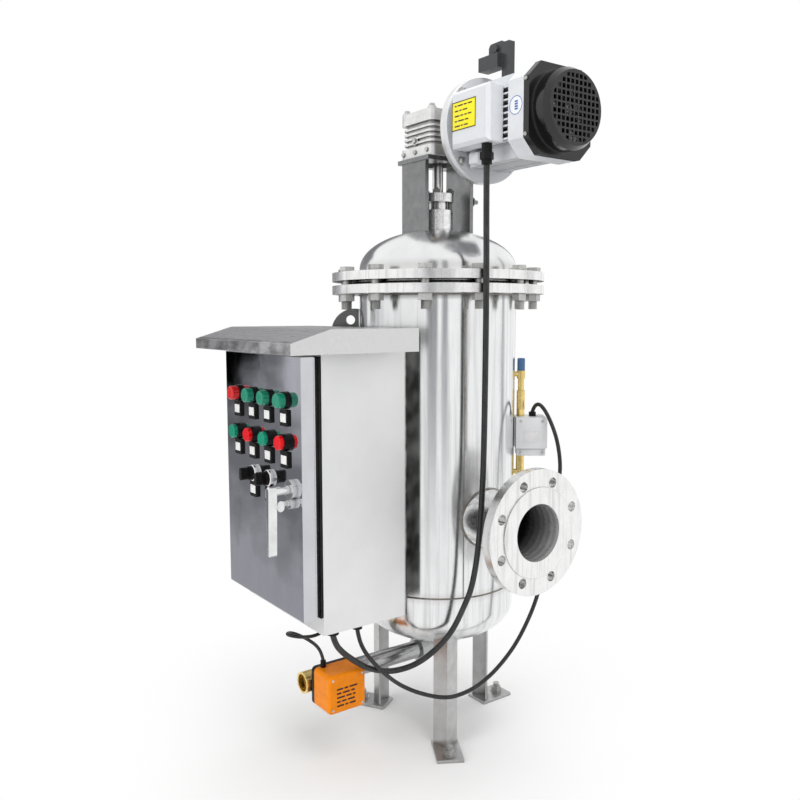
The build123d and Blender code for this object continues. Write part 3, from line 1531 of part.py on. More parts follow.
def cable(points, dia):
    """Round cable along straight runs joined by arcs as large as the runs allow"""
    corners = [Vector(*p) for p in points]
    radii = []
    for before, here, after in zip(corners, corners[1:], corners[2:]):
        run = min((here - before).length, (after - here).length)
        turn = radians((here - before).get_angle(after - here))
        radii.append(0.45 * run / tan(turn / 2))
    with BuildPart() as tube:
        with BuildLine() as route:
            FilletPolyline(*points, radius=radii)
        start = (corners[1] - corners[0]).normalized()
        with BuildSketch(Plane(origin=corners[0], z_dir=start)):
            Circle(dia / 2)
        sweep(path=route.wire())
    length = route.wire().length
    ratio = tube.part.volume / (pi * dia**2 / 4 * length)
    print(f"cable {dia}: length {length:.0f}, smallest radius {min(radii):.1f}, volume ratio {ratio:.4f}")
    return tube


motor_route = [
    (190, -46, 1064),
    (192.5, -48, 985),
    (203, -56, 900),
    (204.5, -57, 760),
    (203, -58, 560),
    (204, -62, 500),
    (205, -67, 440),
    (201, -71, 380),
    (190, -73, 330),
    (178, -77, 300),
    (155, -86, 246),
    (131, -106, 207),
    (110, -135, 180),
    (90, -165, 169),
    (93, -198, 178.7),
    (91, -229, 191.7),
    (87.5, -254, 211),
    (89, -277, 231),
    (91, -294, 252),
    (92, -299, 271),
]
switch_route = [
    (114.5, 146.6, 623),
    (119, 147, 635),
    (133, 146, 641),
    (152, 143, 630),
    (171, 141, 607),
    (187, 140, 578),
    (196, 140, 541),
    (198, 138, 508),
    (197, 120, 430),
    (200, 90, 300),
    (190, 50, 215),
    (178, 10, 165),
    (170, -30, 138),
    (162, -60, 126),
    (150, -95, 120),
    (119, -130, 127),
    (99, -160, 143),
    (104, -197, 175),
    (100, -221, 203),
    (91, -234, 224),
    (81, -239, 245),
    (78, -240, 263),
]
valve_route = [
    (34, -284, 200),
    (34, -287, 214),
    (33, -297, 231),
    (31, -316, 247),
    (32, -336, 260),
    (36, -352, 268),
    (48, -364, 271),
    (60, -352, 268),
    (62, -335, 264),
    (62, -318, 262),
    (61, -302, 264),
    (60.5, -289, 270),
    (60, -283, 279),
]
motor_cable = cable(motor_route, motor_cable_dia)
switch_cable = cable(switch_route, switch_cable_dia)
valve_cable = cable(valve_route, valve_cable_dia)

pieces = {
    "vessel_shell": vessel_shell,
    "bottom_head": bottom_head,
    "body_flange": body_flange,
    "cover_flange": cover_flange,
    "cover_gasket": cover_gasket,
    "cover_dome": cover_dome,
    "cover_bolts": cover_bolts,
    "inlet_nozzle": inlet_nozzle,
    "outlet_nozzle": outlet_nozzle,
    "support_legs": support_legs,
    "stuffing_box": stuffing_box,
    "packing_rings": packing_rings,
    "gland_follower": gland_follower,
    "gland_studs": gland_studs,
    "drive_bracket": drive_bracket,
    "gearbox_housing": gearbox_housing,
    "gearbox_cover": gearbox_cover,
    "worm_wheel": worm_wheel,
    "worm": worm,
    "motor_rotor": motor_rotor,
    "motor_body": motor_body,
    "end_shields": end_shields,
    "cooling_fan": cooling_fan,
    "fan_cowl": fan_cowl,
    "terminal_box": terminal_box,
    "terminal_lid": terminal_lid,
    "motor_bracket": motor_bracket,
    "partition_plate": partition_plate,
    "filter_screen": filter_screen,
    "brush_shaft": brush_shaft,
    "brush_strips": brush_strips,
    "cabinet_body": cabinet_body,
    "cabinet_hood": cabinet_hood,
    "cabinet_door": cabinet_door,
    "door_gasket": door_gasket,
    "cabinet_hardware": cabinet_hardware,
    "control_panel": control_panel,
    "control_bezels": control_bezels,
    "lamp_lenses": lamp_lenses,
    "selector_bezels": selector_bezels,
    "handle_base": handle_base,
    "door_handle": door_handle,
    "drain_line": drain_line,
    "valve_body": valve_body,
    "valve_ball": valve_ball,
    "actuator_base": actuator_base,
    "actuator_cover": actuator_cover,
    "pressure_switch": pressure_switch,
    "switch_fittings": switch_fittings,
    "tap_knob": tap_knob,
    "cable_glands": cable_glands,
    "motor_cable": motor_cable,
    "switch_cable": switch_cable,
    "valve_cable": valve_cable,
}
for number, button in enumerate(push_buttons, 1):
    pieces[f"push_button_{number}"] = button
for number, selector in enumerate(selector_knobs, 1):
    pieces[f"selector_knob_{number}"] = selector

for name, piece in pieces.items():
    piece.part.label = name
    export_step(piece.part, f"parts/{name}.step")
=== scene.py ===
from math import cos, pi, radians, sin, sqrt

import bmesh
import bpy
from bpy.props import FloatProperty, FloatVectorProperty, PointerProperty
from bpy.types import Operator, Panel, PropertyGroup
from mathutils import Matrix, Vector


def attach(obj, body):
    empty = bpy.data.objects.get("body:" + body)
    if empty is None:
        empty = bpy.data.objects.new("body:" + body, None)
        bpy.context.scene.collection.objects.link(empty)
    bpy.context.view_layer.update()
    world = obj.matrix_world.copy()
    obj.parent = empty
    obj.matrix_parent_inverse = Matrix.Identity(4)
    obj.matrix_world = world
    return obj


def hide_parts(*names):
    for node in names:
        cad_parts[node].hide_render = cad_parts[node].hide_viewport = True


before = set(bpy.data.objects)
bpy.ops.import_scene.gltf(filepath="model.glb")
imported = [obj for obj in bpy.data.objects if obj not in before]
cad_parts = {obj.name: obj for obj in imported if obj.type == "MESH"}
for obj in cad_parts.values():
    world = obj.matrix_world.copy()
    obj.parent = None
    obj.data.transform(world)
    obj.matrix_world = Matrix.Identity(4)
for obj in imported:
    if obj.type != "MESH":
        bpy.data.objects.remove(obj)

bl_info = {
    "name": "Self cleaning filter",
    "version": (1, 0, 0),
    "blender": (4, 5, 0),
    "location": "3D View > Sidebar > Filter",
    "description": "Finishes, welds, labels, cables and studio for the self cleaning filter",
    "category": "Object",
}

for spare in ("Cube", "Light", "Camera"):
    if spare in bpy.data.objects:
        bpy.data.objects.remove(bpy.data.objects[spare])

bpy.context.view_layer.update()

# Directions: Z is up, the door faces -Y and the inlet and the motor point along X
up = (0, 0, 1)
to_front = (0, -1, 0)
to_inlet = (1, 0, 0)

# Places that the CAD fixes, in metres
shell_radius = 0.15
head_seam_z = 0.296
flange_weld_z = 0.8488
body_flange_z = 0.851
dome_weld_z = 0.8912
dome_foot_z = 0.9
lug_low_z = 0.69
lug_high_z = 0.83
neck_radius = 0.0545
nozzle_bore = 0.0505
nozzle_flange_x = 0.2595
inlet_z = 0.44
outlet_z = 0.66
anchor_circle = 0.165
foot_top_z = 0.006
leg_turns = (-30, 90, 210)
motor_axis_y = 0.04
motor_axis_z = 1.146
door_face_y = -0.371
cabinet_back_y = -0.17
first_lamp_end_x = -0.075
valve_axis = (0, 0, 0.152)
switch_turn = radians(52)

# Steps of a nozzle's weld and of the sticker's ring
bead_steps = 48
sticker_steps = 36


# Sizes and colours that can be changed


def size(name, text, default, **rest):
    """A length in metres shown in the sidebar"""
    return FloatProperty(name=name, description=text, default=default, unit="LENGTH", **rest)


def power(name, text, default):
    """The power of a light shown in the sidebar"""
    return FloatProperty(name=name, description=text, default=default, unit="POWER")


def colour(name, text, default):
    """A colour shown in the sidebar"""
    return FloatVectorProperty(
        name=name, description=text, default=default, subtype="COLOR", min=0, max=1
    )


class FilterMetals(PropertyGroup):
    """Bare metals"""

    stainless: colour("Stainless steel", "Shell, heads, drain pipe and screen", (0.88, 0.885, 0.89))
    flange: colour("Flange steel", "Flanges, legs, stuffing box and shaft", (0.93, 0.93, 0.925))
    plate: colour("Plate steel", "Drive bracket, worm and rotor", (0.27, 0.273, 0.276))
    zinc: colour("Zinc plate", "Bolts, studs and nuts", (0.66, 0.66, 0.64))
    cast: colour("Cast aluminium", "Gearbox", (0.92, 0.92, 0.91))
    cabinet: colour("Cabinet steel", "Cabinet box and hood", (0.87, 0.87, 0.87))
    door: colour("Door steel", "Mirror polished door", (0.62, 0.63, 0.66))
    chrome: colour("Chrome", "Handle, lock, bezels and valve ball", (0.85, 0.85, 0.86))
    brass: colour("Brass", "Valve and switch fittings", (0.92, 0.7, 0.27))
    bronze: colour("Bronze", "Worm wheel", (0.66, 0.42, 0.2))
    grain: size("Polishing grain", "Spacing of the polishing lines", 0.0006, min=0.0001, max=0.01)


class FilterPaints(PropertyGroup):
    """Paints, plastics and rubber"""

    motor: colour("Motor paint", "Motor, end shields and terminal box", (0.7, 0.715, 0.74))
    black: colour("Black", "Fan cowl, fan, bezels, knobs and glands", (0.006, 0.006, 0.0065))
    dark: colour("Dark paint", "Bracket on top of the motor", (0.035, 0.037, 0.04))
    orange: colour("Orange cover", "Valve actuator", (0.88, 0.25, 0.002))
    green: colour("Signal green", "Lamps and buttons", (0.001, 0.29, 0.17))
    red: colour("Signal red", "Lamp and buttons", (0.78, 0.0, 0.006))
    blue: colour("Blue knob", "Upper tap", (0.06, 0.15, 0.3))
    yellow: colour("Yellow plate", "Plate on the terminal lid", (0.95, 0.82, 0.0))
    silver: colour("Silver paint", "Pressure switch", (0.8, 0.81, 0.82))
    rubber: colour("Black rubber", "Cables, gaskets and rim trim", (0.006, 0.006, 0.0065))


class FilterDetails(PropertyGroup):
    """Sizes of the pieces that are added to the CAD"""

    weld: size("Weld bead", "Radius of the weld beads", 0.0016, min=0.0005, max=0.01)
    seam_turn: FloatProperty(
        name="Seam",
        description="Where the shell's long seam lies",
        default=radians(-19.5),
        subtype="ANGLE",
    )
    screw: size("Screw head", "Radius of the small screw heads", 0.0032, min=0.001, max=0.02)
    anchor: size("Anchor bolt", "Radius of the floor anchors", 0.006, min=0.003, max=0.02)
    label_wide: size("Label width", "Inserts under the controls", 0.019, min=0.005, max=0.024)
    label_high: size("Label height", "Inserts under the controls", 0.0145, min=0.005, max=0.026)


class FilterCables(PropertyGroup):
    """Cables"""

    motor: size("Motor cable", "Outside diameter", 0.0105, min=0.004, max=0.03)
    switch: size("Switch cable", "Outside diameter", 0.0075, min=0.004, max=0.03)
    valve: size("Valve cable", "Outside diameter", 0.006, min=0.003, max=0.03)


class FilterStudio(PropertyGroup):
    """Floor, lights and camera"""

    floor: colour("Floor", "Colour of the floor", (0.96, 0.96, 0.96))
    key: power("Key light", "Power of the key light", 24)
    fill: power("Fill light", "Power of the fill light", 26)
    top: power("Top light", "Power of the top light", 26)
    sky: FloatProperty(
        name="Sky", description="Strength of the light from all round", default=0.55, min=0, max=2
    )
    lens: FloatProperty(name="Lens", description="Focal length", default=37.13, unit="CAMERA")


def settings(group):
    """One of the property groups of the scene"""
    return getattr(bpy.context.scene, group)


# Finishes


def metal(name):
    """The colour of a bare metal"""
    return tuple(getattr(settings("filter_metals"), name))


def tint(name):
    """The colour of a paint, a plastic or rubber"""
    return tuple(getattr(settings("filter_paints"), name))


def even(value):
    """A neutral colour, or one size along every axis"""
    return (value, value, value)


def dim(base, share):
    """A share of a colour"""
    return tuple(share * part for part in base)


class Finish:
    """A procedural material in the making, with its node tree and shader"""

    def __init__(self, name, base, rough, metallic=0.0, **sockets):
        self.material = bpy.data.materials.new(name)
        self.material.use_nodes = True
        self.tree = self.material.node_tree
        self.shader = self.tree.nodes["Principled BSDF"]
        self.give("Base Color", (*base, 1.0))
        self.give("Roughness", rough)
        self.give("Metallic", metallic)
        for socket, value in sockets.items():
            self.give(socket.replace("_", " "), value)

    def give(self, socket, value, node=None):
        """Sets or links one input of the shader or of another node"""
        entry = (node or self.shader).inputs[socket]
        if isinstance(value, bpy.types.NodeSocket):
            self.tree.links.new(value, entry)
        elif entry.type == "RGBA":
            entry.default_value = (*value[:3], 1.0)
        else:
            entry.default_value = value

    def node(self, kind, inputs=(), **attributes):
        """A new node with its attributes and inputs set"""
        fresh = self.tree.nodes.new("ShaderNode" + kind)
        for name, value in attributes.items():
            setattr(fresh, name, value)
        for socket, value in dict(inputs).items():
            self.give(socket, value, fresh)
        return fresh

    def show(self, shader):
        """Puts another shader on the surface"""
        self.give("Surface", shader, self.tree.nodes["Material Output"])

    def place(self, grain=(1, 1, 1), centre=(0, 0, 0)):
        """Object coordinates counted in grains from a centre"""
        source = self.node("TexCoord").outputs["Object"]
        steps = {"Vector": source, "Location": centre, "Scale": grain}
        return self.node("Mapping", steps, vector_type="TEXTURE").outputs[0]

    def along(self, axis, centre=(0, 0, 0)):
        """Distance along X, Y or Z from a centre"""
        return self.node("SeparateXYZ", {0: self.place(centre=centre)}).outputs[axis]

    def faces(self, axis):
        """How far the surface faces along X, Y or Z, from -1 to 1"""
        normal = self.node("NewGeometry").outputs["Normal"]
        return self.node("SeparateXYZ", {0: normal}).outputs[axis]

    def noise(self, grain, detail=3.0, rough=0.5):
        """Soft noise with a grain of the given size, or one size along each axis"""
        if isinstance(grain, float):
            grain = even(grain)
        parts = {"Vector": self.place(grain), "Scale": 1.0, "Detail": detail, "Roughness": rough}
        return self.node("TexNoise", parts).outputs[0]

    def math(self, operation, first, second=0.0):
        """One sum on values"""
        return self.node("Math", {0: first, 1: second}, operation=operation).outputs[0]

    def times(self, first, second):
        """Product of two values"""
        return self.math("MULTIPLY", first, second)

    def above(self, value, level):
        """1 where a value is over a level, 0 elsewhere"""
        return self.math("GREATER_THAN", value, level)

    def below(self, value, level):
        """1 where a value is under a level, 0 elsewhere"""
        return self.math("LESS_THAN", value, level)

    def wave(self, value, pitch):
        """Sine wave of the given pitch along a value"""
        return self.math("SINE", self.times(value, 2 * pi / pitch))

    def remap(self, value, low, high, to_low=0.0, to_high=1.0):
        """Value stretched from one range to another, and kept within it"""
        parts = {0: value, 1: low, 2: high, 3: to_low, 4: to_high}
        return self.node("MapRange", parts, clamp=True).outputs[0]

    def mix(self, share, first, second):
        """Two colours mixed by a share"""
        parts = {0: share, 6: first, 7: second}
        return self.node("Mix", parts, data_type="RGBA").outputs[2]

    def fade(self, noise, base, share, low=0.3, high=0.7):
        """Colour that fades to a share of itself in patches of noise"""
        return self.mix(self.remap(noise, low, high), base, dim(base, share))

    def edges(self, radius):
        """Mask that is 1 along edges and 0 on open faces"""
        flat = self.node("NewGeometry").outputs["Normal"]
        parts = {0: self.soften(radius), 1: flat}
        likeness = self.node("VectorMath", parts, operation="DOT_PRODUCT").outputs["Value"]
        return self.remap(likeness, 1.0, 0.96)

    def rub(self, radius, share, tone, bright):
        """Tone with edges that are rubbed bright"""
        return self.mix(self.times(self.edges(radius), share), tone, bright)

    def grime_and_shade(self, tone, reach, share=0.5, grime_and_shade_tone=(0.1, 0.095, 0.09)):
        """Tone with dirt and painted shade in its corners, and painted near black shade in its deep
        recesses
        """
        shade = self.node("AmbientOcclusion", {"Distance": reach}, samples=6).outputs["AO"]
        # Occlusion darkening: partly dirt, partly painted shade in the corners
        tone = self.mix(self.times(self.remap(shade, 0.85, 0.35), share), tone, grime_and_shade_tone)
        # Painted shade: near black in the deep recesses
        return self.mix(self.remap(shade, 0.5, 0.12), tone, even(0.012))

    def away(self, axis, centre=(0, 0, 0)):
        """Distance from a turning axis"""
        keep = tuple(float(letter != axis) for letter in "XYZ")
        parts = {0: self.place(centre=centre), 1: keep}
        flat = self.node("VectorMath", parts, operation="MULTIPLY").outputs[0]
        return self.node("VectorMath", {0: flat}, operation="LENGTH").outputs["Value"]

    def rings(self, axis, centre, pitch):
        """Wave that runs outwards from a turning axis, for turned faces"""
        return self.wave(self.away(axis, centre), pitch)

    def rough(self, noise, least, most, low=0.3, high=0.7):
        """Roughness that changes with noise"""
        self.give("Roughness", self.remap(noise, low, high, least, most))

    def soften(self, radius):
        """Normal that rounds the edges off"""
        return self.node("Bevel", {"Radius": radius}, samples=4).outputs[0]

    def bump(self, height, depth, strength, normal=None):
        """Relief of the given depth in metres, on top of a normal"""
        parts = {"Height": height, "Distance": depth, "Strength": strength}
        if normal is not None:
            parts["Normal"] = normal
        return self.node("Bump", parts).outputs[0]

    def relief(self, height, depth, strength, radius=0.0):
        """Gives the shader relief, on edges that are rounded off where a radius is given"""
        rounded = self.soften(radius) if radius else None
        self.give("Normal", self.bump(height, depth, strength, rounded))


def polished_stainless():
    """Rolled sheet with fine polishing lines around it, slightly wavy, with painted reflection
    streaks on the shell, tinted beside its welds, with a painted shadow under the body flange and
    painted shade on the lugs"""
    base = metal("stainless")
    polish = {"Anisotropic": 0.8, "Anisotropic_Rotation": 0.25}
    finish = Finish("polished_stainless", base, 0.16, 1.0, **polish)
    height = finish.along("Z")
    smears = finish.noise((0.05, 0.05, 0.14), 4.0, 0.6)
    streaks = finish.noise((0.011, 0.011, 0.4), 4.0, 0.6)
    tone = finish.fade(smears, base, 0.92, 0.35)
    # Painted reflection: dark upright streaks on the shell
    painted_reflection_streaks = finish.times(finish.remap(streaks, 0.48, 0.75), finish.remap(height, 0.86, 0.85))
    tone = finish.mix(painted_reflection_streaks, tone, dim(base, 0.7))
    near_weld = 0.0
    for level in (head_seam_z, body_flange_z, dome_foot_z):
        gap = finish.math("ABSOLUTE", finish.math("SUBTRACT", height, level))
        near_weld = finish.math("MAXIMUM", near_weld, finish.remap(gap, 0.013, 0.002))
    tone = finish.mix(finish.times(near_weld, 0.3), tone, (0.42, 0.4, 0.37))
    # Painted shadow on the shell just under the body flange
    shadow = finish.remap(height, body_flange_z - 0.013, body_flange_z - 0.0025)
    shadow = finish.times(shadow, finish.below(height, body_flange_z))
    tone = finish.mix(finish.times(shadow, 0.7), tone, even(0.08))
    # Painted shade: the lifting lugs are darkened
    lug = finish.above(finish.away("Z"), shell_radius + 0.0035)
    for band in (finish.below(height, lug_high_z), finish.above(height, lug_low_z)):
        lug = finish.times(lug, band)
    finish.give("Base Color", finish.mix(lug, tone, even(0.13)))
    finish.rough(smears, 0.16, 0.26, 0.3, 0.75)
    turned = finish.node("Tangent", direction_type="RADIAL", axis="Z").outputs[0]
    finish.give("Tangent", turned)
    waves = finish.noise((0.05, 0.05, 0.35), 1.0, 0.3)
    lines = finish.noise((0.06, 0.06, settings("filter_metals").grain), 2.0)
    wavy = finish.bump(waves, 0.0012, 0.5, finish.soften(0.0012))
    finish.give("Normal", finish.bump(lines, 0.00003, 0.5, wavy))
    return finish.material


def turned_flange(name, axis="Z", centre=(0, 0, 0), bore=0.0):
    """Turned flange steel with rings on its faces, bright worn edges and painted reflection
    streaks, and where a bore's radius is given, painted reflection bands in the bore that darken
    inwards as painted shade"""
    base = metal("flange")
    finish = Finish(name, base, 0.3, 1.0)
    mottle = finish.noise(0.02, 4.0, 0.6)
    streaks = finish.noise((0.009, 0.009, 0.2), 3.0, 0.6)
    tone = finish.fade(mottle, base, 0.93, 0.3, 0.75)
    # Painted reflection: dark upright streaks on the flange
    tone = finish.mix(finish.remap(streaks, 0.5, 0.75), tone, dim(base, 0.7))
    tone = finish.grime_and_shade(finish.rub(0.0012, 0.6, tone, (0.95, 0.95, 0.94)), 0.014)
    if bore:
        outside = finish.above(finish.away(axis, centre), bore)
        blur = finish.remap(mottle, 0.3, 0.7, -0.5, 0.5)
        # Painted reflection: grey bands inside the bore
        painted_arcs = finish.math("ADD", finish.wave(finish.along(axis), 0.013), blur)
        inner = finish.mix(finish.remap(painted_arcs, -0.9, 0.9), even(0.36), even(0.52))
        # Painted shade: the bore turns near black deeper in
        inward = finish.math("ABSOLUTE", finish.along("X"))
        inner = finish.mix(finish.remap(inward, 0.2, 0.265), even(0.02), inner)
        tone = finish.mix(outside, inner, tone)
        finish.give("Metallic", finish.remap(outside, 0.0, 1.0, 0.2, 1.0))
    finish.give("Base Color", tone)
    finish.rough(mottle, 0.2, 0.32)
    cut = finish.bump(finish.rings(axis, centre, 0.0011), 0.00004, 0.6, finish.soften(0.0009))
    wide = finish.rings(axis, centre, 0.0064)
    finish.give("Normal", finish.bump(wide, 0.00005, 0.35, cut))
    return finish.material


def brushed_steel(name, base, rough, grain, wear=0.5, smudge=0.02, depth=0.2, shade_past=None):
    """Steel with a straight grain, smudges of the given depth and bright edges, with painted
    blotchy shade behind the Y that shade_past gives"""
    finish = Finish(name, base, rough, 1.0)
    mottle = finish.noise(smudge, 4.0, 0.6)
    tone = finish.fade(mottle, base, 1 - depth, 0.3, 0.75)
    bright = tuple(min(1.0, part) for part in dim(base, 1.3))
    tone = finish.grime_and_shade(finish.rub(0.0009, wear, tone, bright), 0.01, 0.4)
    # Painted shade: the back, behind the given Y, is darkened in blotches
    if shade_past is not None:
        back = finish.remap(finish.along("Y"), shade_past, shade_past + 0.004)
        blots = finish.remap(finish.noise((0.08, 0.08, 0.05), 4.0, 0.6), 0.42, 0.6)
        back_shade = finish.mix(blots, (0.035, 0.034, 0.032), (0.3, 0.3, 0.29))
        tone = finish.mix(back, tone, back_shade)
    finish.give("Base Color", tone)
    finish.rough(mottle, rough * (1 - depth), rough * (1 + depth))
    finish.relief(finish.noise(grain, 2.0), 0.00004, 0.7, 0.0008)
    return finish.material


def upright_grain(name, base, rough):
    """Plate steel brushed up and down"""
    return brushed_steel(name, base, rough, (0.0007, 0.0007, 0.05))


def chrome_plate(name):
    """Bright chrome with faint smears"""
    return brushed_steel(name, metal("chrome"), 0.08, 0.02, wear=0.2)


def cabinet_sheet():
    """Satin cabinet steel with an upright grain, with painted shade on the back"""
    look = {"wear": 0.8, "smudge": 0.09, "depth": 0.05, "shade_past": cabinet_back_y}
    return brushed_steel("cabinet_sheet", metal("cabinet"), 0.6, (0.0006, 0.0006, 0.06), **look)


def hood_sheet():
    """Cabinet steel weathered along the slope and blotted on the front rim, clean on the cheeks"""
    base = metal("cabinet")
    finish = Finish("hood_sheet", base, 0.3, 1.0)
    depth = finish.along("Y")
    cheek = finish.math("ABSOLUTE", finish.faces("X"))
    slope = finish.times(finish.remap(cheek, 0.9, 0.5), finish.remap(depth, -0.3, -0.35))
    streaks = finish.noise((0.09, 0.006, 0.012), 5.0, 0.65)
    blots = finish.noise((0.045, 0.02, 0.02), 3.0, 0.5)
    worn = finish.remap(streaks, 0.35, 0.65)
    tone = finish.mix(worn, dim(base, 0.95), dim(base, 0.6))
    rim = finish.remap(depth, -0.4, -0.404)
    tone = finish.mix(finish.times(rim, finish.remap(blots, 0.4, 0.6)), tone, even(0.3))
    tone = finish.mix(slope, dim(base, 0.8), tone)
    tone = finish.rub(0.0012, 0.5, tone, even(0.95))
    finish.give("Base Color", finish.grime_and_shade(tone, 0.01, 0.4))
    finish.rough(streaks, 0.24, 0.42)
    finish.relief(finish.noise((0.06, 0.0006, 0.0006), 2.0), 0.00004, 0.6, 0.0008)
    return finish.material


def mirror_door():
    """Mirror polished sheet that is slightly wavy, with faint wiping marks"""
    base = metal("door")
    finish = Finish("mirror_door", base, 0.05, 1.0)
    marks = finish.noise((0.03, 0.05, 0.08), 5.0, 0.65)
    finish.give("Base Color", finish.fade(marks, base, 0.9, 0.35, 0.75))
    finish.rough(marks, 0.035, 0.11, 0.4, 0.8)
    waves = finish.noise((0.09, 0.2, 0.16), 1.0, 0.4)
    fine = finish.noise((0.0006, 0.03, 0.03), 2.0)
    rolled = finish.bump(waves, 0.0016, 0.5, finish.soften(0.0015))
    finish.give("Normal", finish.bump(fine, 0.00001, 0.3, rolled))
    return finish.material


def bolt_zinc(name, low=0.0, high=0.0, pitch=0.002):
    """Zinc plate with a thread between two heights"""
    base = metal("zinc")
    finish = Finish(name, base, 0.34, 1.0)
    mottle = finish.noise(0.006, 4.0, 0.7)
    finish.give("Base Color", finish.grime_and_shade(finish.fade(mottle, base, 0.8), 0.006, 0.7))
    finish.rough(mottle, 0.26, 0.46)
    height = finish.along("Z")
    inside = finish.times(finish.above(height, low), finish.below(height, high))
    thread = finish.times(finish.wave(height, pitch), inside)
    finish.relief(thread, 0.0007, 0.8, 0.0007)
    return finish.material


def cast_aluminium():
    """Cast metal with a rough skin and rubbed edges"""
    base = metal("cast")
    finish = Finish("cast_aluminium", base, 0.4, 1.0)
    skin = finish.noise(0.0022, 5.0, 0.7)
    tone = finish.fade(finish.noise(0.018), base, 0.84)
    tone = finish.rub(0.0012, 0.55, tone, (0.92, 0.92, 0.91))
    finish.give("Base Color", finish.grime_and_shade(tone, 0.009, 0.6))
    finish.rough(skin, 0.34, 0.48)
    finish.relief(skin, 0.00016, 0.7, 0.0012)
    return finish.material


def machined(name, base, rough, axis="Z", centre=(0, 0, 0)):
    """Turned metal with fine tool marks around an axis"""
    finish = Finish(name, base, rough, 1.0)
    mottle = finish.noise(0.01, 4.0, 0.6)
    finish.give("Base Color", finish.grime_and_shade(finish.fade(mottle, base, 0.84), 0.006, 0.5))
    finish.rough(mottle, rough * 0.8, rough * 1.25)
    finish.relief(finish.rings(axis, centre, 0.0007), 0.00003, 0.6, 0.0006)
    return finish.material


def weld_metal():
    """Rippled weld bead with straw and blue heat colours"""
    finish = Finish("weld_metal", even(0.3), 0.28, 1.0)
    ripple = finish.noise(0.0016, 2.0, 0.6)
    heat = finish.noise(0.012)
    straw = finish.mix(finish.remap(heat, 0.35, 0.55), even(0.3), (0.25, 0.22, 0.18))
    tone = finish.mix(finish.remap(heat, 0.55, 0.75), straw, (0.16, 0.17, 0.2))
    finish.give("Base Color", tone)
    finish.rough(ripple, 0.2, 0.4)
    finish.relief(ripple, 0.0005, 0.8)
    return finish.material


def paint(name, base, rough, coat, chip=0.25, ribs=0.0):
    """Sprayed paint with a fine orange peel, dust and painted shade in the corners and chipped
    edges, and with dark stripes underneath as painted shade of rib grooves where the pitch of ribs
    is given"""
    finish = Finish(name, base, rough, Coat_Weight=coat, Coat_Roughness=0.12)
    broad = finish.noise(0.03, 4.0, 0.6)
    fleck = finish.noise(0.0035, 5.0, 0.75)
    worn = finish.times(finish.edges(0.0009), finish.remap(fleck, 0.5, 0.62))
    tone = finish.mix(finish.times(worn, chip), finish.fade(broad, base, 0.92), even(0.5))
    if ribs:
        # Painted shade: dark stripes on downward faces stand in for shaded grooves between ribs
        underneath = finish.remap(finish.faces("Z"), -0.25, -0.45)
        gaps = finish.remap(finish.wave(finish.along("Y"), ribs), 0.1, 0.5)
        groove_shade = finish.times(underneath, gaps)
        tone = finish.mix(finish.times(groove_shade, 0.8), tone, dim(base, 0.2))
    finish.give("Base Color", finish.grime_and_shade(tone, 0.008, 0.4))
    finish.rough(broad, rough * 0.85, rough * 1.2)
    finish.relief(finish.noise(0.0012, 2.0), 0.00005, 0.5, 0.001)
    return finish.material


def moulded_plastic(name, base, rough, coat=0.0, grain=0.0005, depth=0.00002, gloss=0.3):
    """Moulded plastic with a fine spark eroded grain"""
    sockets = {"Coat_Weight": coat, "Coat_Roughness": 0.06, "Specular_IOR_Level": gloss}
    finish = Finish(name, base, rough, **sockets)
    broad = finish.noise(0.012)
    tone = finish.fade(broad, base, 0.88)
    finish.give("Base Color", finish.grime_and_shade(tone, 0.004, 0.4, dim(base, 0.3)))
    finish.rough(broad, rough * 0.85, rough * 1.2)
    finish.relief(finish.noise(grain, 3.0, 0.6), depth, 0.6, 0.0006)
    return finish.material


def lamp_plastic():
    """Ribbed clear lenses, the first lamp red and the other three green"""
    red, green = tint("red"), tint("green")
    clear = {"Coat_Weight": 0.2, "Coat_Roughness": 0.04, "Subsurface_Weight": 0.1}
    finish = Finish("lamp_plastic", green, 0.1, **clear)
    finish.give("Subsurface Radius", even(0.004))
    side = finish.along("X")
    rib = 0.0022
    hatch = finish.times(finish.wave(finish.along("Z"), rib), finish.wave(side, rib))
    tone = finish.mix(finish.below(side, first_lamp_end_x), green, red)
    deep = finish.remap(hatch, -1.0, 1.0, 0.0, 0.35)
    finish.give("Base Color", finish.mix(deep, tone, (0.0, 0.05, 0.03)))
    finish.rough(hatch, 0.12, 0.2, -1.0, 1.0)
    finish.relief(hatch, 0.0001, 0.25, 0.0008)
    return finish.material


def rubber(name, rough):
    """Black rubber with a matte bloom"""
    base = tint("rubber")
    finish = Finish(name, base, rough, Specular_IOR_Level=0.2)
    bloom = finish.noise(0.03)
    tone = finish.mix(finish.remap(bloom, 0.35, 0.75), base, (0.02, 0.02, 0.021))
    finish.give("Base Color", tone)
    finish.rough(bloom, rough * 0.8, rough * 1.25)
    finish.relief(finish.noise(0.0012, 4.0, 0.6), 0.00004, 0.5)
    return finish.material


def cable_jacket():
    """Cable jacket with a slight sheen and dust"""
    base = tint("rubber")
    finish = Finish("cable_jacket", base, 0.28, Specular_IOR_Level=0.6)
    dust = finish.noise((0.01, 0.01, 0.03), 4.0, 0.65)
    tone = finish.mix(finish.remap(dust, 0.5, 0.8), base, (0.03, 0.03, 0.031))
    finish.give("Base Color", tone)
    finish.rough(dust, 0.2, 0.42, 0.3, 0.75)
    finish.relief(finish.noise(0.0016, 3.0, 0.6), 0.00005, 0.4)
    return finish.material


def dress(finish, *nodes):
    """Gives CAD nodes a finish"""
    for name in nodes:
        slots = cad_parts[name].data.materials
        slots.clear()
        slots.append(finish)


# Shapes


def add_object(name, data):
    """An object at the origin"""
    made = bpy.data.objects.new(name, data)
    bpy.context.scene.collection.objects.link(made)
    return made


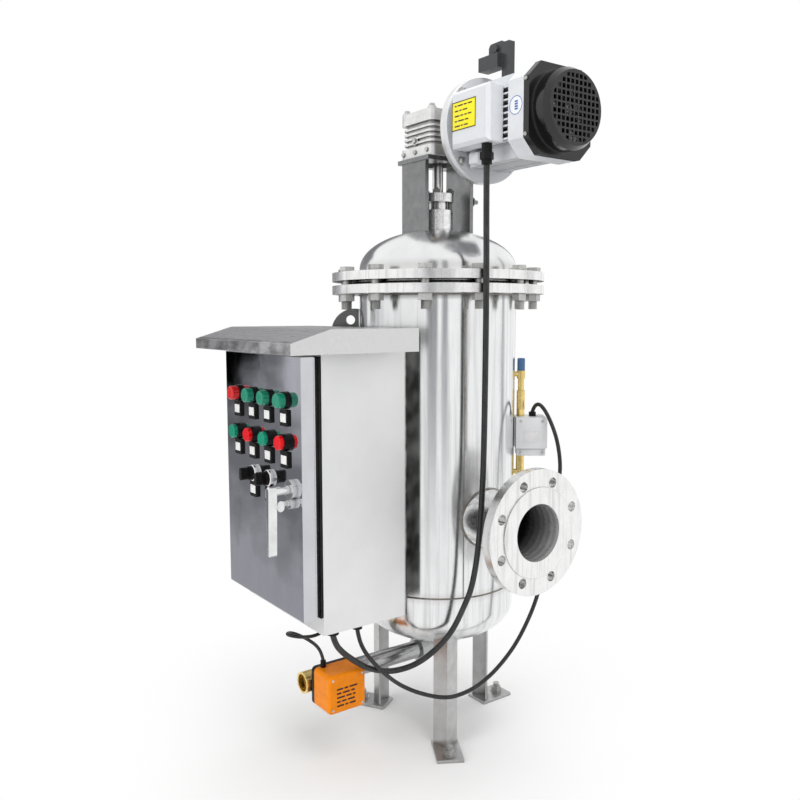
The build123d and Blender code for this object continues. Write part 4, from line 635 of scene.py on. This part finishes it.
def add_mesh(name, form, finish):
    """An object at the origin from a bmesh"""
    mesh = bpy.data.meshes.new(name)
    form.to_mesh(mesh)
    form.free()
    mesh.materials.append(finish)
    return add_object(name, mesh)


def new_piece(name, form, finish, body="vessel", smooth=35):
    """Piece from a bmesh that rides on a CAD body, smooth across edges under an angle in degrees"""
    for edge in form.edges:
        edge.smooth = len(edge.link_faces) == 2 and edge.calc_face_angle(0.0) < radians(smooth)
    for face in form.faces:
        face.smooth = True
    piece = add_mesh(name, form, finish)
    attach(piece, body)


def facing(direction):
    """Turn that brings +Z to a direction"""
    return Vector(direction).to_track_quat("Z", "Y").to_matrix().to_4x4()


def edges_of(verts):
    """The edges that meet at vertices, each once and in the same order on every run"""
    return list(dict.fromkeys(edge for vert in verts for edge in vert.link_edges))


def round_off(form, edges, radius):
    """Rounds edges off in two steps"""
    bmesh.ops.bevel(
        form, geom=edges, offset=radius, offset_type="OFFSET", segments=2, profile=0.5,
        affect="EDGES", material=-1,
    )


def add_disc(form, foot, direction, radius, thick, sides=32, bevel=0.0):
    """Round or many sided disc that stands on its foot along a direction, its far rim rounded"""
    way = Vector(direction).normalized()
    place = Matrix.Translation(foot) @ facing(direction) @ Matrix.Translation((0, 0, thick / 2))
    made = bmesh.ops.create_cone(
        form, cap_ends=True, segments=sides, radius1=radius, radius2=radius, depth=thick,
        matrix=place,
    )
    if bevel:
        far = Vector(foot) + way * thick
        rim = [
            edge
            for edge in edges_of(made["verts"])
            if all((vert.co - far).dot(way) > -thick / 4 for vert in edge.verts)
        ]
        round_off(form, rim, bevel)


def add_block(form, centre, spans, bevel=0.0, turn=None):
    """Rectangular block, with rounded edges where a bevel is given"""
    turn = turn or Matrix.Identity(4)
    place = Matrix.Translation(centre) @ turn @ Matrix.Diagonal((*spans, 1))
    made = bmesh.ops.create_cube(form, size=1.0, matrix=place)
    if bevel:
        round_off(form, edges_of(made["verts"]), bevel)


def add_dashes(form, start, axis, rows, unit, gap, pitch, spans):
    """Rows of dashes along X or Y (0 or 1) in place of words, each as many units long as it says"""
    for row, dashes in enumerate(rows):
        centre = [start[0], start[1], start[2] - row * pitch]
        for dash in dashes:
            sides = list(spans)
            sides[axis] = dash * unit
            centre[axis] += sides[axis] / 2
            add_block(form, centre, sides)
            centre[axis] += sides[axis] / 2 + gap


def add_screw(form, foot, direction, radius, high):
    """Pan head screw with a round socket"""
    add_disc(form, foot, direction, radius, high, 24, high * 0.3)
    way = Vector(direction).normalized()
    top = Vector(foot) + way * high
    crown = [
        face
        for face in form.faces
        if (face.calc_center_median() - top).length < radius * 0.2
        and abs(face.normal.dot(way)) > 0.9
    ]
    inner = bmesh.ops.inset_region(form, faces=crown, thickness=radius * 0.5)
    sunk = crown if crown[0].is_valid else inner["faces"]
    floor = list(dict.fromkeys(vert for face in sunk for vert in face.verts))
    bmesh.ops.translate(form, verts=floor, vec=-way * high * 0.5)


def add_ring(form, centre, direction, radius, bead):
    """Round bead that runs once round an axis"""
    place = Matrix.Translation(centre) @ facing(direction)
    start = place @ Matrix.Translation((radius, 0, 0)) @ Matrix.Rotation(pi / 2, 4, "X")
    made = bmesh.ops.create_circle(form, cap_ends=False, segments=10, radius=bead, matrix=start)
    bmesh.ops.spin(
        form, geom=made["verts"] + edges_of(made["verts"]), cent=centre,
        axis=place.to_3x3() @ Vector(up), dvec=(0, 0, 0), angle=2 * pi, steps=96,
        use_merge=True, use_duplicate=False,
    )


def round_line(name, kind, points, radius, steps):
    """Curve with a round section and closed ends, and its one spline, with the given points"""
    line = bpy.data.curves.new(name, "CURVE")
    line.dimensions = "3D"
    line.bevel_depth = radius
    line.bevel_resolution = steps
    line.use_fill_caps = True
    spline = line.splines.new(kind)
    spline.points.add(len(points) - 1)
    for point, place in zip(spline.points, points):
        point.co = (*place, 1)
    return line, spline


def add_bead(name, points, bead, finish, closed=False):
    """Weld bead along a line of points, as a mesh"""
    line, spline = round_line(name, "POLY", points, bead, 2)
    spline.use_cyclic_u = closed
    carrier = bpy.data.objects.new(name + "_line", line)
    form = bmesh.new()
    form.from_mesh(bpy.data.meshes.new_from_object(carrier))
    bpy.data.objects.remove(carrier)
    bmesh.ops.remove_doubles(form, verts=form.verts, dist=1e-6)
    bmesh.ops.recalc_face_normals(form, faces=form.faces)
    new_piece(name, form, finish, smooth=60)


# Operators, one for each group of pieces


class FILTER_OT_dress_vessel(Operator):
    """Polish the shell and its heads, and lay the weld beads"""

    bl_idname = "filter.dress_vessel"
    bl_label = "Vessel and welds"

    def execute(self, context):
        details = settings("filter_details")
        bead, turn = details.weld, details.seam_turn
        dress(polished_stainless(), "vessel_shell", "bottom_head", "cover_dome")
        weld = weld_metal()
        form = bmesh.new()
        for height, gap in ((head_seam_z, 0.0), (flange_weld_z, 0.0007), (dome_weld_z, 0.0007)):
            add_ring(form, (0, 0, height), up, shell_radius + gap, bead)
        new_piece("round_welds", form, weld, smooth=60)
        seam = shell_radius - 0.0004
        along = (seam * cos(turn), seam * sin(turn))
        points = [(*along, head_seam_z + 0.0005 + step * 0.055) for step in range(11)]
        add_bead("long_seam", points, bead * 0.7, weld)
        self.weld_nozzle("inlet", 1, inlet_z, bead, weld)
        self.weld_nozzle("outlet", -1, outlet_z, bead, weld)
        return {"FINISHED"}

    def weld_nozzle(self, name, side, height, bead, weld):
        """Weld beads where a nozzle's neck meets the shell and its flange"""
        ring = []
        for step in range(bead_steps):
            turn = 2 * pi * step / bead_steps
            y, z = neck_radius * cos(turn), neck_radius * sin(turn)
            ring.append((side * sqrt((shell_radius + 0.0008) ** 2 - y * y), y, height + z))
        add_bead(name + "_weld", ring, bead * 1.3, weld, True)
        form = bmesh.new()
        add_ring(form, (side * nozzle_flange_x, 0, height), to_inlet, neck_radius, bead * 1.2)
        new_piece(name + "_flange_weld", form, weld)


class FILTER_OT_dress_flanges(Operator):
    """Turn the flanges, plate their bolts and blacken the gaskets"""

    bl_idname = "filter.dress_flanges"
    bl_label = "Flanges and bolts"

    def execute(self, context):
        dress(turned_flange("turned_cover_flange"), "body_flange", "cover_flange")
        for name, height in (("inlet", inlet_z), ("outlet", outlet_z)):
            turned = turned_flange("turned_" + name, "X", (0, 0, height), nozzle_bore)
            dress(turned, name + "_nozzle")
        dress(bolt_zinc("bolt_zinc", low=0.8, high=0.8369), "cover_bolts")
        dress(rubber("gasket_rubber", 0.5), "cover_gasket", "door_gasket")
        return {"FINISHED"}


class FILTER_OT_dress_legs(Operator):
    """Brush the legs and set the floor anchors"""

    bl_idname = "filter.dress_legs"
    bl_label = "Legs and anchors"

    def execute(self, context):
        anchor = settings("filter_details").anchor
        dress(upright_grain("leg_steel", dim(metal("flange"), 0.6), 0.34), "support_legs")
        washer = 0.0016
        form = bmesh.new()
        for turn in leg_turns:
            place = (anchor_circle * cos(radians(turn)), anchor_circle * sin(radians(turn)))
            add_disc(form, (*place, foot_top_z), up, anchor * 2, washer, 32, 0.0003)
            add_disc(form, (*place, foot_top_z + washer), up, anchor * 1.72, 0.009, 6, 0.0006)
            add_disc(form, (*place, 0.001), up, anchor, 0.024, 24, 0.001)
        zinc = bolt_zinc("anchor_zinc", low=0.0, high=0.03, pitch=0.0018)
        new_piece("anchor_bolts", form, zinc)
        return {"FINISHED"}


class FILTER_OT_dress_drive(Operator):
    """Finish the bracket, the stuffing box, the gearbox and the shaft, and fit the bolts"""

    bl_idname = "filter.dress_drive"
    bl_label = "Bracket and gearbox"

    def execute(self, context):
        plate, flange = metal("plate"), metal("flange")
        axis = (0, motor_axis_y, motor_axis_z)
        dress(upright_grain("plate_steel", plate, 0.3), "drive_bracket")
        dress(machined("neck_steel", flange, 0.26), "stuffing_box")
        dress(machined("gland_steel", flange, 0.24), "gland_follower")
        dress(bolt_zinc("stud_zinc", low=1.0, high=1.06, pitch=0.00125), "gland_studs")
        weave = {"grain": 0.0012, "depth": 0.0002}
        dress(moulded_plastic("packing_braid", (0.62, 0.57, 0.42), 0.7, **weave), "packing_rings")
        dress(cast_aluminium(), "gearbox_housing", "gearbox_cover")
        self.add_bolts()
        dress(machined("bronze", metal("bronze"), 0.3), "worm_wheel")
        dress(machined("ground_steel", plate, 0.22, "X", axis), "worm", "motor_rotor")
        dress(machined("shaft_steel", flange, 0.2), "brush_shaft")
        return {"FINISHED"}

    def add_bolts(self):
        """Screws of the gearbox cover, and the bolts and oil plug on its front"""
        form = bmesh.new()
        for x in (-0.038, 0.038):
            for y in (-0.044, 0.066):
                add_screw(form, (x, y, 1.19), up, 0.0052, 0.0055)
        for x in (-0.036, 0.0, 0.036):
            add_disc(form, (x, -0.0541, 1.1125), to_front, 0.0042, 0.003, 6, 0.0004)
        plug_x, plug_z, boss_y, head_y = -0.006, 1.1345, -0.0475, -0.0505
        add_disc(form, (plug_x, boss_y, plug_z), to_front, 0.0085, 0.003, 32, 0.0006)
        add_disc(form, (plug_x, head_y, plug_z), to_front, 0.0055, 0.0035, 6, 0.0005)
        new_piece("gearbox_bolts", form, bolt_zinc("gearbox_zinc"))


class FILTER_OT_dress_motor(Operator):
    """Paint the motor, its cowl and its bracket, and fix the screws, lug, sticker and plate"""

    bl_idname = "filter.dress_motor"
    bl_label = "Motor"

    def execute(self, context):
        body = paint("motor_paint", tint("motor"), 0.38, 0.35)
        ribbed = paint("rib_paint", tint("motor"), 0.38, 0.35, ribs=0.0145)
        dress(body, "end_shields", "terminal_box", "terminal_lid")
        dress(ribbed, "motor_body")
        dress(paint("cowl_paint", tint("black"), 0.16, 0.1, chip=0.1), "fan_cowl")
        dress(paint("bracket_paint", tint("dark"), 0.4, 0.2, chip=0.4), "motor_bracket")
        dress(moulded_plastic("fan_plastic", tint("black"), 0.5), "cooling_fan")
        self.add_screws()
        form = bmesh.new()
        add_block(form, (0.128, -0.012, 1.0865), (0.026, 0.022, 0.02), 0.003)
        new_piece("motor_lug", form, body)
        self.add_sticker()
        self.add_plate(paint("plate_yellow", tint("yellow"), 0.35, 0.4, chip=0.0))
        return {"FINISHED"}

    def add_screws(self):
        """Screws of the cowl and the terminal lid, and the bolts of the motor flange"""
        screw = settings("filter_details").screw
        form = bmesh.new()
        for y in (-1, 1):
            for z in (-1, 1):
                place = (0.27, motor_axis_y + y * 0.0745, motor_axis_z + z * 0.0435)
                add_screw(form, place, (0, y, 0), screw, 0.0022)
        for x in (0.12, 0.207):
            for z in (1.1035, 1.1895):
                add_screw(form, (x, -0.0555, z), to_front, screw * 0.9, 0.0055)
        flange = Vector((0.093, motor_axis_y, motor_axis_z))
        bolt_circle, washer = 0.085, 0.0015
        for turn in (45, 135, 225, 315):
            way = Vector((0, cos(radians(turn)), sin(radians(turn))))
            spot = flange + way * bolt_circle
            add_disc(form, spot, to_inlet, 0.0085, washer, 32, 0.0003)
            add_disc(form, spot + Vector((washer, 0, 0)), to_inlet, 0.0075, 0.0065, 6, 0.0006)
        new_piece("motor_screws", form, bolt_zinc("screw_zinc"))

    def add_sticker(self):
        """Round white sticker on the cowl with a blue ring and bars"""
        x, y, z = 0.2465, -0.0338, 1.152
        white = moulded_plastic("sticker_white", (0.86, 0.87, 0.88), 0.3)
        form = bmesh.new()
        add_disc(form, (x, y, z), to_front, 0.0165, 0.0005, 48)
        new_piece("round_sticker", form, white)
        ink_y, ring = y - 0.0006, 0.0145
        form = bmesh.new()
        for step in range(sticker_steps):
            turn = 2 * pi * step / sticker_steps
            place = (x + ring * sin(turn), ink_y, z + ring * cos(turn))
            add_block(form, place, (0.0026, 0.0002, 0.0012), 0, Matrix.Rotation(turn, 4, "Y"))
        for step in (-0.006, -0.002, 0.002, 0.006):
            add_block(form, (x + 0.001, ink_y, z + step), (0.007, 0.0002, 0.0026))
        blue = moulded_plastic("sticker_blue", (0.03, 0.12, 0.45), 0.3)
        new_piece("sticker_rings", form, blue)

    def add_plate(self, yellow):
        """Yellow plate on the terminal lid with a black border and rows of dashes"""
        x, y, z = 0.151, -0.0643, 1.151
        wide, high, line = 0.0615, 0.048, 0.0014
        form = bmesh.new()
        add_block(form, (x, y, z), (wide, 0.0008, high), 0.0002)
        new_piece("yellow_plate", form, yellow)
        rows = ((3, 9, 5, 7), (6, 4, 8), (8, 5, 4, 6), (4, 10, 6), (9, 3, 7))
        ink_y, ink = y - 0.0005, 0.0002
        form = bmesh.new()
        start = (x - 0.023, ink_y, z + 0.017)
        add_dashes(form, start, 0, rows, 0.0015, 0.0028, 0.0085, (0, ink, 0.0022))
        for side in (-1, 1):
            add_block(form, (x, ink_y, z + side * 0.0232), (wide, ink, line))
            add_block(form, (x + side * 0.03, ink_y, z), (line, ink, high))
        black = moulded_plastic("plate_ink", (0.02, 0.02, 0.02), 0.5)
        new_piece("plate_rules", form, black)


class FILTER_OT_dress_cabinet(Operator):
    """Finish the cabinet, its hood, door and hinges, and trim the door opening"""

    bl_idname = "filter.dress_cabinet"
    bl_label = "Cabinet"

    def execute(self, context):
        dress(cabinet_sheet(), "cabinet_body", "cabinet_hardware")
        dress(hood_sheet(), "cabinet_hood")
        dress(mirror_door(), "cabinet_door")
        dress(moulded_plastic("gear_grey", (0.6, 0.61, 0.62), 0.45), "control_panel")
        left, right, low, high = -0.1538, 0.1222, 0.3165, 0.7445
        trim_y, deep, thick, bevel = -0.3372, 0.0038, 0.002, 0.0004
        form = bmesh.new()
        for z in (low, high):
            spans = (right - left, deep, thick)
            add_block(form, ((left + right) / 2, trim_y, z), spans, bevel)
        for x in (left, right):
            spans = (thick, deep, high - low)
            add_block(form, (x, trim_y, (low + high) / 2), spans, bevel)
        new_piece("rim_trim", form, rubber("rim_rubber", 0.6))
        return {"FINISHED"}


class FILTER_OT_dress_controls(Operator):
    """Finish the lamps, buttons, selectors and handle, and slip the labels in"""

    bl_idname = "filter.dress_controls"
    bl_label = "Door controls"

    def execute(self, context):
        black = moulded_plastic("black_plastic", tint("black"), 0.28, gloss=0.2)
        dress(black, "control_bezels", "selector_knob_1", "selector_knob_2")
        dress(lamp_plastic(), "lamp_lenses")
        green = moulded_plastic("green_plastic", tint("green"), 0.12, coat=0.2)
        red = moulded_plastic("red_plastic", tint("red"), 0.12, coat=0.2)
        dress(green, "push_button_1", "push_button_3")
        dress(red, "push_button_2", "push_button_4")
        dress(chrome_plate("chrome"), "selector_bezels", "handle_base", "door_handle")
        columns = (-0.104, -0.046, 0.012, 0.07)
        rows = {0.674: columns, 0.605: columns, 0.537: columns[1:3]}
        details = settings("filter_details")
        spans = (details.label_wide, 0.001, details.label_high)
        form = bmesh.new()
        for z, places in rows.items():
            for x in places:
                add_block(form, (x, door_face_y - 0.0043, z - 0.0286), spans, 0.0003)
        card = moulded_plastic("label_card", (0.82, 0.82, 0.81), 0.5)
        new_piece("label_cards", form, card, "door_assembly")
        return {"FINISHED"}


class FILTER_OT_dress_drain(Operator):
    """Finish the drain line, the ball valve and its actuator"""

    bl_idname = "filter.dress_drain"
    bl_label = "Drain valve"

    def execute(self, context):
        steel, brass = dim(metal("stainless"), 0.5), metal("brass")
        dress(machined("pipe_steel", steel, 0.14, "Y", valve_axis), "drain_line")
        dress(machined("valve_brass", brass, 0.26, "Y", valve_axis), "valve_body")
        dress(chrome_plate("ball_chrome"), "valve_ball")
        dress(moulded_plastic("actuator_black", tint("black"), 0.4), "actuator_base")
        orange = moulded_plastic("actuator_orange", tint("orange"), 0.34, coat=0.05, gloss=0.15)
        dress(orange, "actuator_cover")
        form = bmesh.new()
        for y in (-0.292, -0.232):
            for z in (0.126, 0.18):
                add_screw(form, (0.0795, y, z), to_inlet, 0.0024, 0.0012)
        new_piece("actuator_screws", form, bolt_zinc("actuator_zinc"))
        rows = ((7, 4, 9), (5, 8, 4), (9, 6, 3), (4, 5, 8), (8, 3, 7))
        start = (0.0801, -0.284, 0.162)
        form = bmesh.new()
        add_dashes(form, start, 1, rows, 0.0018, 0.003, 0.0075, (0.0004, 0, 0.003))
        ink = moulded_plastic("actuator_ink", (0.03, 0.02, 0.015), 0.5)
        new_piece("actuator_rules", form, ink)
        return {"FINISHED"}


class FILTER_OT_dress_switch(Operator):
    """Finish the pressure switch and its fittings, and add its label and screws"""

    bl_idname = "filter.dress_switch"
    bl_label = "Pressure switch"

    def execute(self, context):
        column = (0.163 * cos(switch_turn), 0.163 * sin(switch_turn), 0)
        brass = machined("fitting_brass", metal("brass"), 0.28, "Z", column)
        dress(paint("switch_paint", tint("silver"), 0.32, 0.2, chip=0.3), "pressure_switch")
        dress(brass, "switch_fittings")
        dress(moulded_plastic("knob_blue", tint("blue"), 0.3, coat=0.3), "tap_knob")
        out = Matrix.Rotation(switch_turn, 4, "Z")
        side = out @ Vector(to_front)
        middle = out @ Vector((0.182, -0.026, 0)) + Vector((0, 0, 0.5775))
        card = moulded_plastic("switch_card", (0.8, 0.8, 0.8), 0.5)
        form = bmesh.new()
        add_block(form, middle + side * 0.0003, (0.03, 0.0006, 0.02), 0, out)
        new_piece("switch_label", form, card)
        form = bmesh.new()
        for along in (-0.021, 0.021):
            for z in (-0.03, 0.03):
                add_screw(form, middle + out @ Vector((along, 0, z)), side, 0.0024, 0.0014)
        new_piece("switch_screws", form, bolt_zinc("switch_zinc"))
        return {"FINISHED"}


class FILTER_OT_dress_inside(Operator):
    """Finish the screen, the brush and the partition inside the vessel"""

    bl_idname = "filter.dress_inside"
    bl_label = "Screen and brush"

    def execute(self, context):
        steel = metal("stainless")
        wire = brushed_steel("screen_wire", steel, 0.28, (0.0005, 0.0005, 0.04))
        sheet = brushed_steel("partition_steel", steel, 0.32, (0.05, 0.0006, 0.0006))
        dress(wire, "filter_screen")
        dress(sheet, "partition_plate")
        dress(moulded_plastic("bristle", (0.72, 0.7, 0.62), 0.6, depth=0.0004), "brush_strips")
        return {"FINISHED"}


# Control points of the cables, the same as in the CAD, in metres
cable_routes = {
    "motor_cable": (
        (0.19, -0.046, 1.064), (0.1925, -0.048, 0.985), (0.203, -0.056, 0.9),
        (0.2045, -0.057, 0.76), (0.203, -0.058, 0.56), (0.204, -0.062, 0.5),
        (0.205, -0.067, 0.44), (0.201, -0.071, 0.38), (0.19, -0.073, 0.33),
        (0.178, -0.077, 0.3), (0.155, -0.086, 0.246), (0.131, -0.106, 0.207),
        (0.11, -0.135, 0.18), (0.09, -0.165, 0.169), (0.093, -0.198, 0.1787),
        (0.091, -0.229, 0.1917), (0.0875, -0.254, 0.211), (0.089, -0.277, 0.231),
        (0.091, -0.294, 0.252), (0.092, -0.299, 0.271),
    ),
    "switch_cable": (
        (0.1145, 0.1466, 0.623), (0.119, 0.147, 0.635), (0.133, 0.146, 0.641),
        (0.152, 0.143, 0.63), (0.171, 0.141, 0.607), (0.187, 0.14, 0.578),
        (0.196, 0.14, 0.541), (0.198, 0.138, 0.508), (0.197, 0.12, 0.43),
        (0.2, 0.09, 0.3), (0.19, 0.05, 0.215), (0.178, 0.01, 0.165),
        (0.17, -0.03, 0.138), (0.162, -0.06, 0.126), (0.15, -0.095, 0.12),
        (0.119, -0.13, 0.127), (0.099, -0.16, 0.143), (0.104, -0.197, 0.175),
        (0.1, -0.221, 0.203), (0.091, -0.234, 0.224), (0.081, -0.239, 0.245),
        (0.078, -0.24, 0.263),
    ),
    "valve_cable": (
        (0.034, -0.284, 0.2), (0.034, -0.287, 0.214), (0.033, -0.297, 0.231),
        (0.031, -0.316, 0.247), (0.032, -0.336, 0.26), (0.036, -0.352, 0.268),
        (0.048, -0.364, 0.271), (0.06, -0.352, 0.268), (0.062, -0.335, 0.264),
        (0.062, -0.318, 0.262), (0.061, -0.302, 0.264), (0.0605, -0.289, 0.27),
        (0.06, -0.283, 0.279),
    ),
}


class FILTER_OT_lay_cables(Operator):
    """Lay the three cables from their glands to the cabinet"""

    bl_idname = "filter.lay_cables"
    bl_label = "Cables"

    def execute(self, context):
        sizes = settings("filter_cables")
        jacket = cable_jacket()
        glands = moulded_plastic("gland_plastic", tint("black"), 0.35, gloss=0.2)
        dress(glands, "cable_glands")
        for node, route in cable_routes.items():
            thick = getattr(sizes, node.removesuffix("_cable"))
            line, spline = round_line(node + "_line", "NURBS", route, thick / 2, 5)
            line.resolution_u = 10
            spline.order_u = 3
            spline.use_endpoint_u = True
            line.materials.append(jacket)
            piece = add_object(node + "_lead", line)
            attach(piece, "vessel")
            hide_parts(node)
        return {"FINISHED"}


# Studio cards: place, turn in degrees, width, height, and the shades of the bottom, the middle and
# both ends of the top
cards = {
    "card_front": ((1.96, -2.0, 1.2), -46, 0.62, 2.4, 0.35, 0.3, 0.28, 0.28),
    "card_right": ((2.47, -1.31, 1.2), -28, 0.42, 2.4, 0.42, 0.4, 0.38, 0.38),
    "card_seam": ((2.7, 0.1, 1.2), 0, 0.22, 2.4, 0.05, 0.03, 0.02, 0.02),
    "card_streak": ((0.9, 2.4, 1.2), 70, 0.25, 2.4, 0.4, 0.4, 0.35, 0.35),
    "card_edge": ((-1.6, 2.1, 1.2), 127, 0.35, 2.4, 0.12, 0.1, 0.08, 0.08),
    "card_wall": ((-2.6, 0.35, 1.2), 172, 2.6, 2.4, 0.35, 0.3, 0.2, 0.2),
    "card_door": ((-0.8, -0.75, 0.42), -90, 0.9, 0.84, 0.44, 0.22, 0.001, 0.6),
}

# Soft boxes: place, the point that they face, width and height
lights = {
    "key_light": ((1.9, -0.5, 2.3), (0, 0, 0.7), 1.2, 1.6),
    "fill_light": ((0.3, -2.6, 1.3), (0, 0, 0.6), 1.4, 1.8),
    "top_light": ((-0.2, 0.3, 2.9), (0, 0, 0.9), 1.6, 1.6),
}

# The photo's camera: place, turn in radians, and the width of its sensor in millimetres
camera_place = (1.25932, -1.00206, 0.81289)
camera_turn = (pi / 2 - 0.10362, 0.00127, 0.9437)
camera_sensor = 36


def seen_directly(tree):
    """1 for the camera, reflections and what shows through, 0 for light that falls on things"""
    rays = tree.nodes.new("ShaderNodeLightPath").outputs
    seen = rays["Is Camera Ray"]
    for kind in ("Is Glossy Ray", "Is Transmission Ray"):
        either = tree.nodes.new("ShaderNodeMath")
        either.operation = "MAXIMUM"
        tree.links.new(seen, either.inputs[0])
        tree.links.new(rays[kind], either.inputs[1])
        seen = either.outputs[0]
    return seen


def card_paper(name, place, wide, high, shades):
    """Glowing paper of a studio card with a soft, blotted change from shade to shade"""
    finish = Finish(name, even(0.5), 1.0)
    low, middle, near, far = [(shade, shade, 1.06 * shade) for shade in shades]
    blots = finish.noise((0.2, 0.2, 0.16), 4.0, 0.6)
    bend = finish.times(finish.math("SUBTRACT", blots, 0.5), 0.6)
    height = finish.math("ADD", finish.along("Z", place), bend)
    side = finish.math("ADD", finish.along("X", place), bend)
    top = finish.mix(finish.remap(side, -wide * 0.12, wide * 0.2), near, far)
    tone = finish.mix(finish.remap(height, -high * 0.35, -high * 0.1), low, middle)
    tone = finish.mix(finish.remap(height, high * 0.02, high * 0.22), tone, top)
    finish.show(finish.node("Emission", {"Color": tone}).outputs[0])
    return finish.material


def floor_paper(shade):
    """Pale floor that keeps the shadow near the object and turns to white paper away from it"""
    finish = Finish("floor_paper", shade, 0.9, Specular_IOR_Level=0.1)
    finish.rough(finish.noise(0.004), 0.85, 0.95)
    spot = finish.place(centre=(0, -0.1, 0))
    away = finish.node("VectorMath", {0: spot}, operation="LENGTH").outputs["Value"]
    share = finish.times(finish.remap(away, 0.14, 0.66), seen_directly(finish.tree))
    white = finish.node("Emission").outputs[0]
    parts = {0: share, 1: finish.shader.outputs[0], 2: white}
    finish.show(finish.node("MixShader", parts).outputs[0])
    return finish.material


class FILTER_OT_build_stage(Operator):
    """Set the floor, the cards, the lights and the camera"""

    bl_idname = "filter.build_stage"
    bl_label = "Studio"

    def execute(self, context):
        studio = settings("filter_studio")
        scene = context.scene
        scene.view_settings.view_transform = "Standard"
        self.add_sheet("studio_floor", floor_paper(tuple(studio.floor)), Matrix.Scale(40, 4))
        self.add_world(studio.sky)
        for name, card in cards.items():
            self.add_card(name, *card)
        for name, box in lights.items():
            self.add_light(name, *box, getattr(studio, name.removesuffix("_light")))
        shot = bpy.data.cameras.new("photo_camera")
        shot.lens = studio.lens
        shot.sensor_width = camera_sensor
        shot.clip_start = 0.05
        camera = add_object("photo_camera", shot)
        camera.location = camera_place
        camera.rotation_euler = camera_turn
        scene.camera = camera
        return {"FINISHED"}

    def add_world(self, sky):
        """White all round for the camera and reflections, softer as a light"""
        world = bpy.data.worlds.new("studio_world")
        world.use_nodes = True
        tree = world.node_tree
        paper = tree.nodes["Background"]
        paper.inputs["Color"].default_value = (1, 1, 1, 1)
        level = tree.nodes.new("ShaderNodeMapRange")
        level.inputs["To Min"].default_value = sky
        level.inputs["To Max"].default_value = 1.0
        tree.links.new(seen_directly(tree), level.inputs["Value"])
        tree.links.new(level.outputs[0], paper.inputs["Strength"])
        bpy.context.scene.world = world

    def add_sheet(self, name, finish, spot):
        """Flat square of paper, a metre wide before its placing"""
        form = bmesh.new()
        bmesh.ops.create_grid(form, x_segments=1, y_segments=1, size=0.5, matrix=spot)
        sheet = add_mesh(name, form, finish)
        return sheet

    def add_card(self, name, place, turn, wide, high, *shades):
        """Upright studio card turned towards the object that only shows in reflections"""
        turn = Matrix.Rotation(radians(turn), 4, "Z") @ Matrix.Rotation(pi / 2, 4, "Y")
        spot = Matrix.Translation(place) @ turn @ Matrix.Diagonal((high, wide, 1, 1))
        sheet = self.add_sheet(name, card_paper(name, place, wide, high, shades), spot)
        sheet.visible_camera = False
        sheet.visible_diffuse = False
        sheet.visible_shadow = False

    def add_light(self, name, place, target, wide, high, watts):
        """Soft box that faces a point"""
        lamp = bpy.data.lights.new(name, "AREA")
        lamp.shape = "RECTANGLE"
        lamp.size = wide
        lamp.size_y = high
        lamp.energy = watts
        box = add_object(name, lamp)
        box.location = place
        way = Vector(target) - Vector(place)
        box.rotation_euler = way.to_track_quat("-Z", "Y").to_euler()
        box.visible_glossy = False


groups = {
    "filter_metals": FilterMetals,
    "filter_paints": FilterPaints,
    "filter_details": FilterDetails,
    "filter_cables": FilterCables,
    "filter_studio": FilterStudio,
}
operators = (
    FILTER_OT_build_stage,
    FILTER_OT_lay_cables,
    FILTER_OT_dress_vessel,
    FILTER_OT_dress_flanges,
    FILTER_OT_dress_legs,
    FILTER_OT_dress_drive,
    FILTER_OT_dress_motor,
    FILTER_OT_dress_cabinet,
    FILTER_OT_dress_controls,
    FILTER_OT_dress_drain,
    FILTER_OT_dress_switch,
    FILTER_OT_dress_inside,
)


class FILTER_PT_panel(Panel):
    """Sizes, colours and build steps of the filter"""

    bl_idname = "FILTER_PT_panel"
    bl_label = "Self cleaning filter"
    bl_space_type = "VIEW_3D"
    bl_region_type = "UI"
    bl_category = "Filter"

    def draw(self, context):
        for name, group in groups.items():
            box = self.layout.box()
            box.label(text=group.__doc__)
            for entry in group.__annotations__:
                box.prop(getattr(context.scene, name), entry)
        for operator in operators:
            self.layout.operator(operator.bl_idname)


def register():
    """Adds the groups, operators and panel"""
    for name, group in groups.items():
        bpy.utils.register_class(group)
        setattr(bpy.types.Scene, name, PointerProperty(type=group))
    for operator in operators:
        bpy.utils.register_class(operator)
    bpy.utils.register_class(FILTER_PT_panel)


def unregister():
    """Takes them off again"""
    bpy.utils.unregister_class(FILTER_PT_panel)
    for operator in reversed(operators):
        bpy.utils.unregister_class(operator)
    for name, group in groups.items():
        delattr(bpy.types.Scene, name)
        bpy.utils.unregister_class(group)


def main():
    """Builds everything in order"""
    register()
    for operator in operators:
        step = operator.bl_idname.split(".")[1]
        getattr(bpy.ops.filter, step)()


if __name__ == "__main__":
    main()
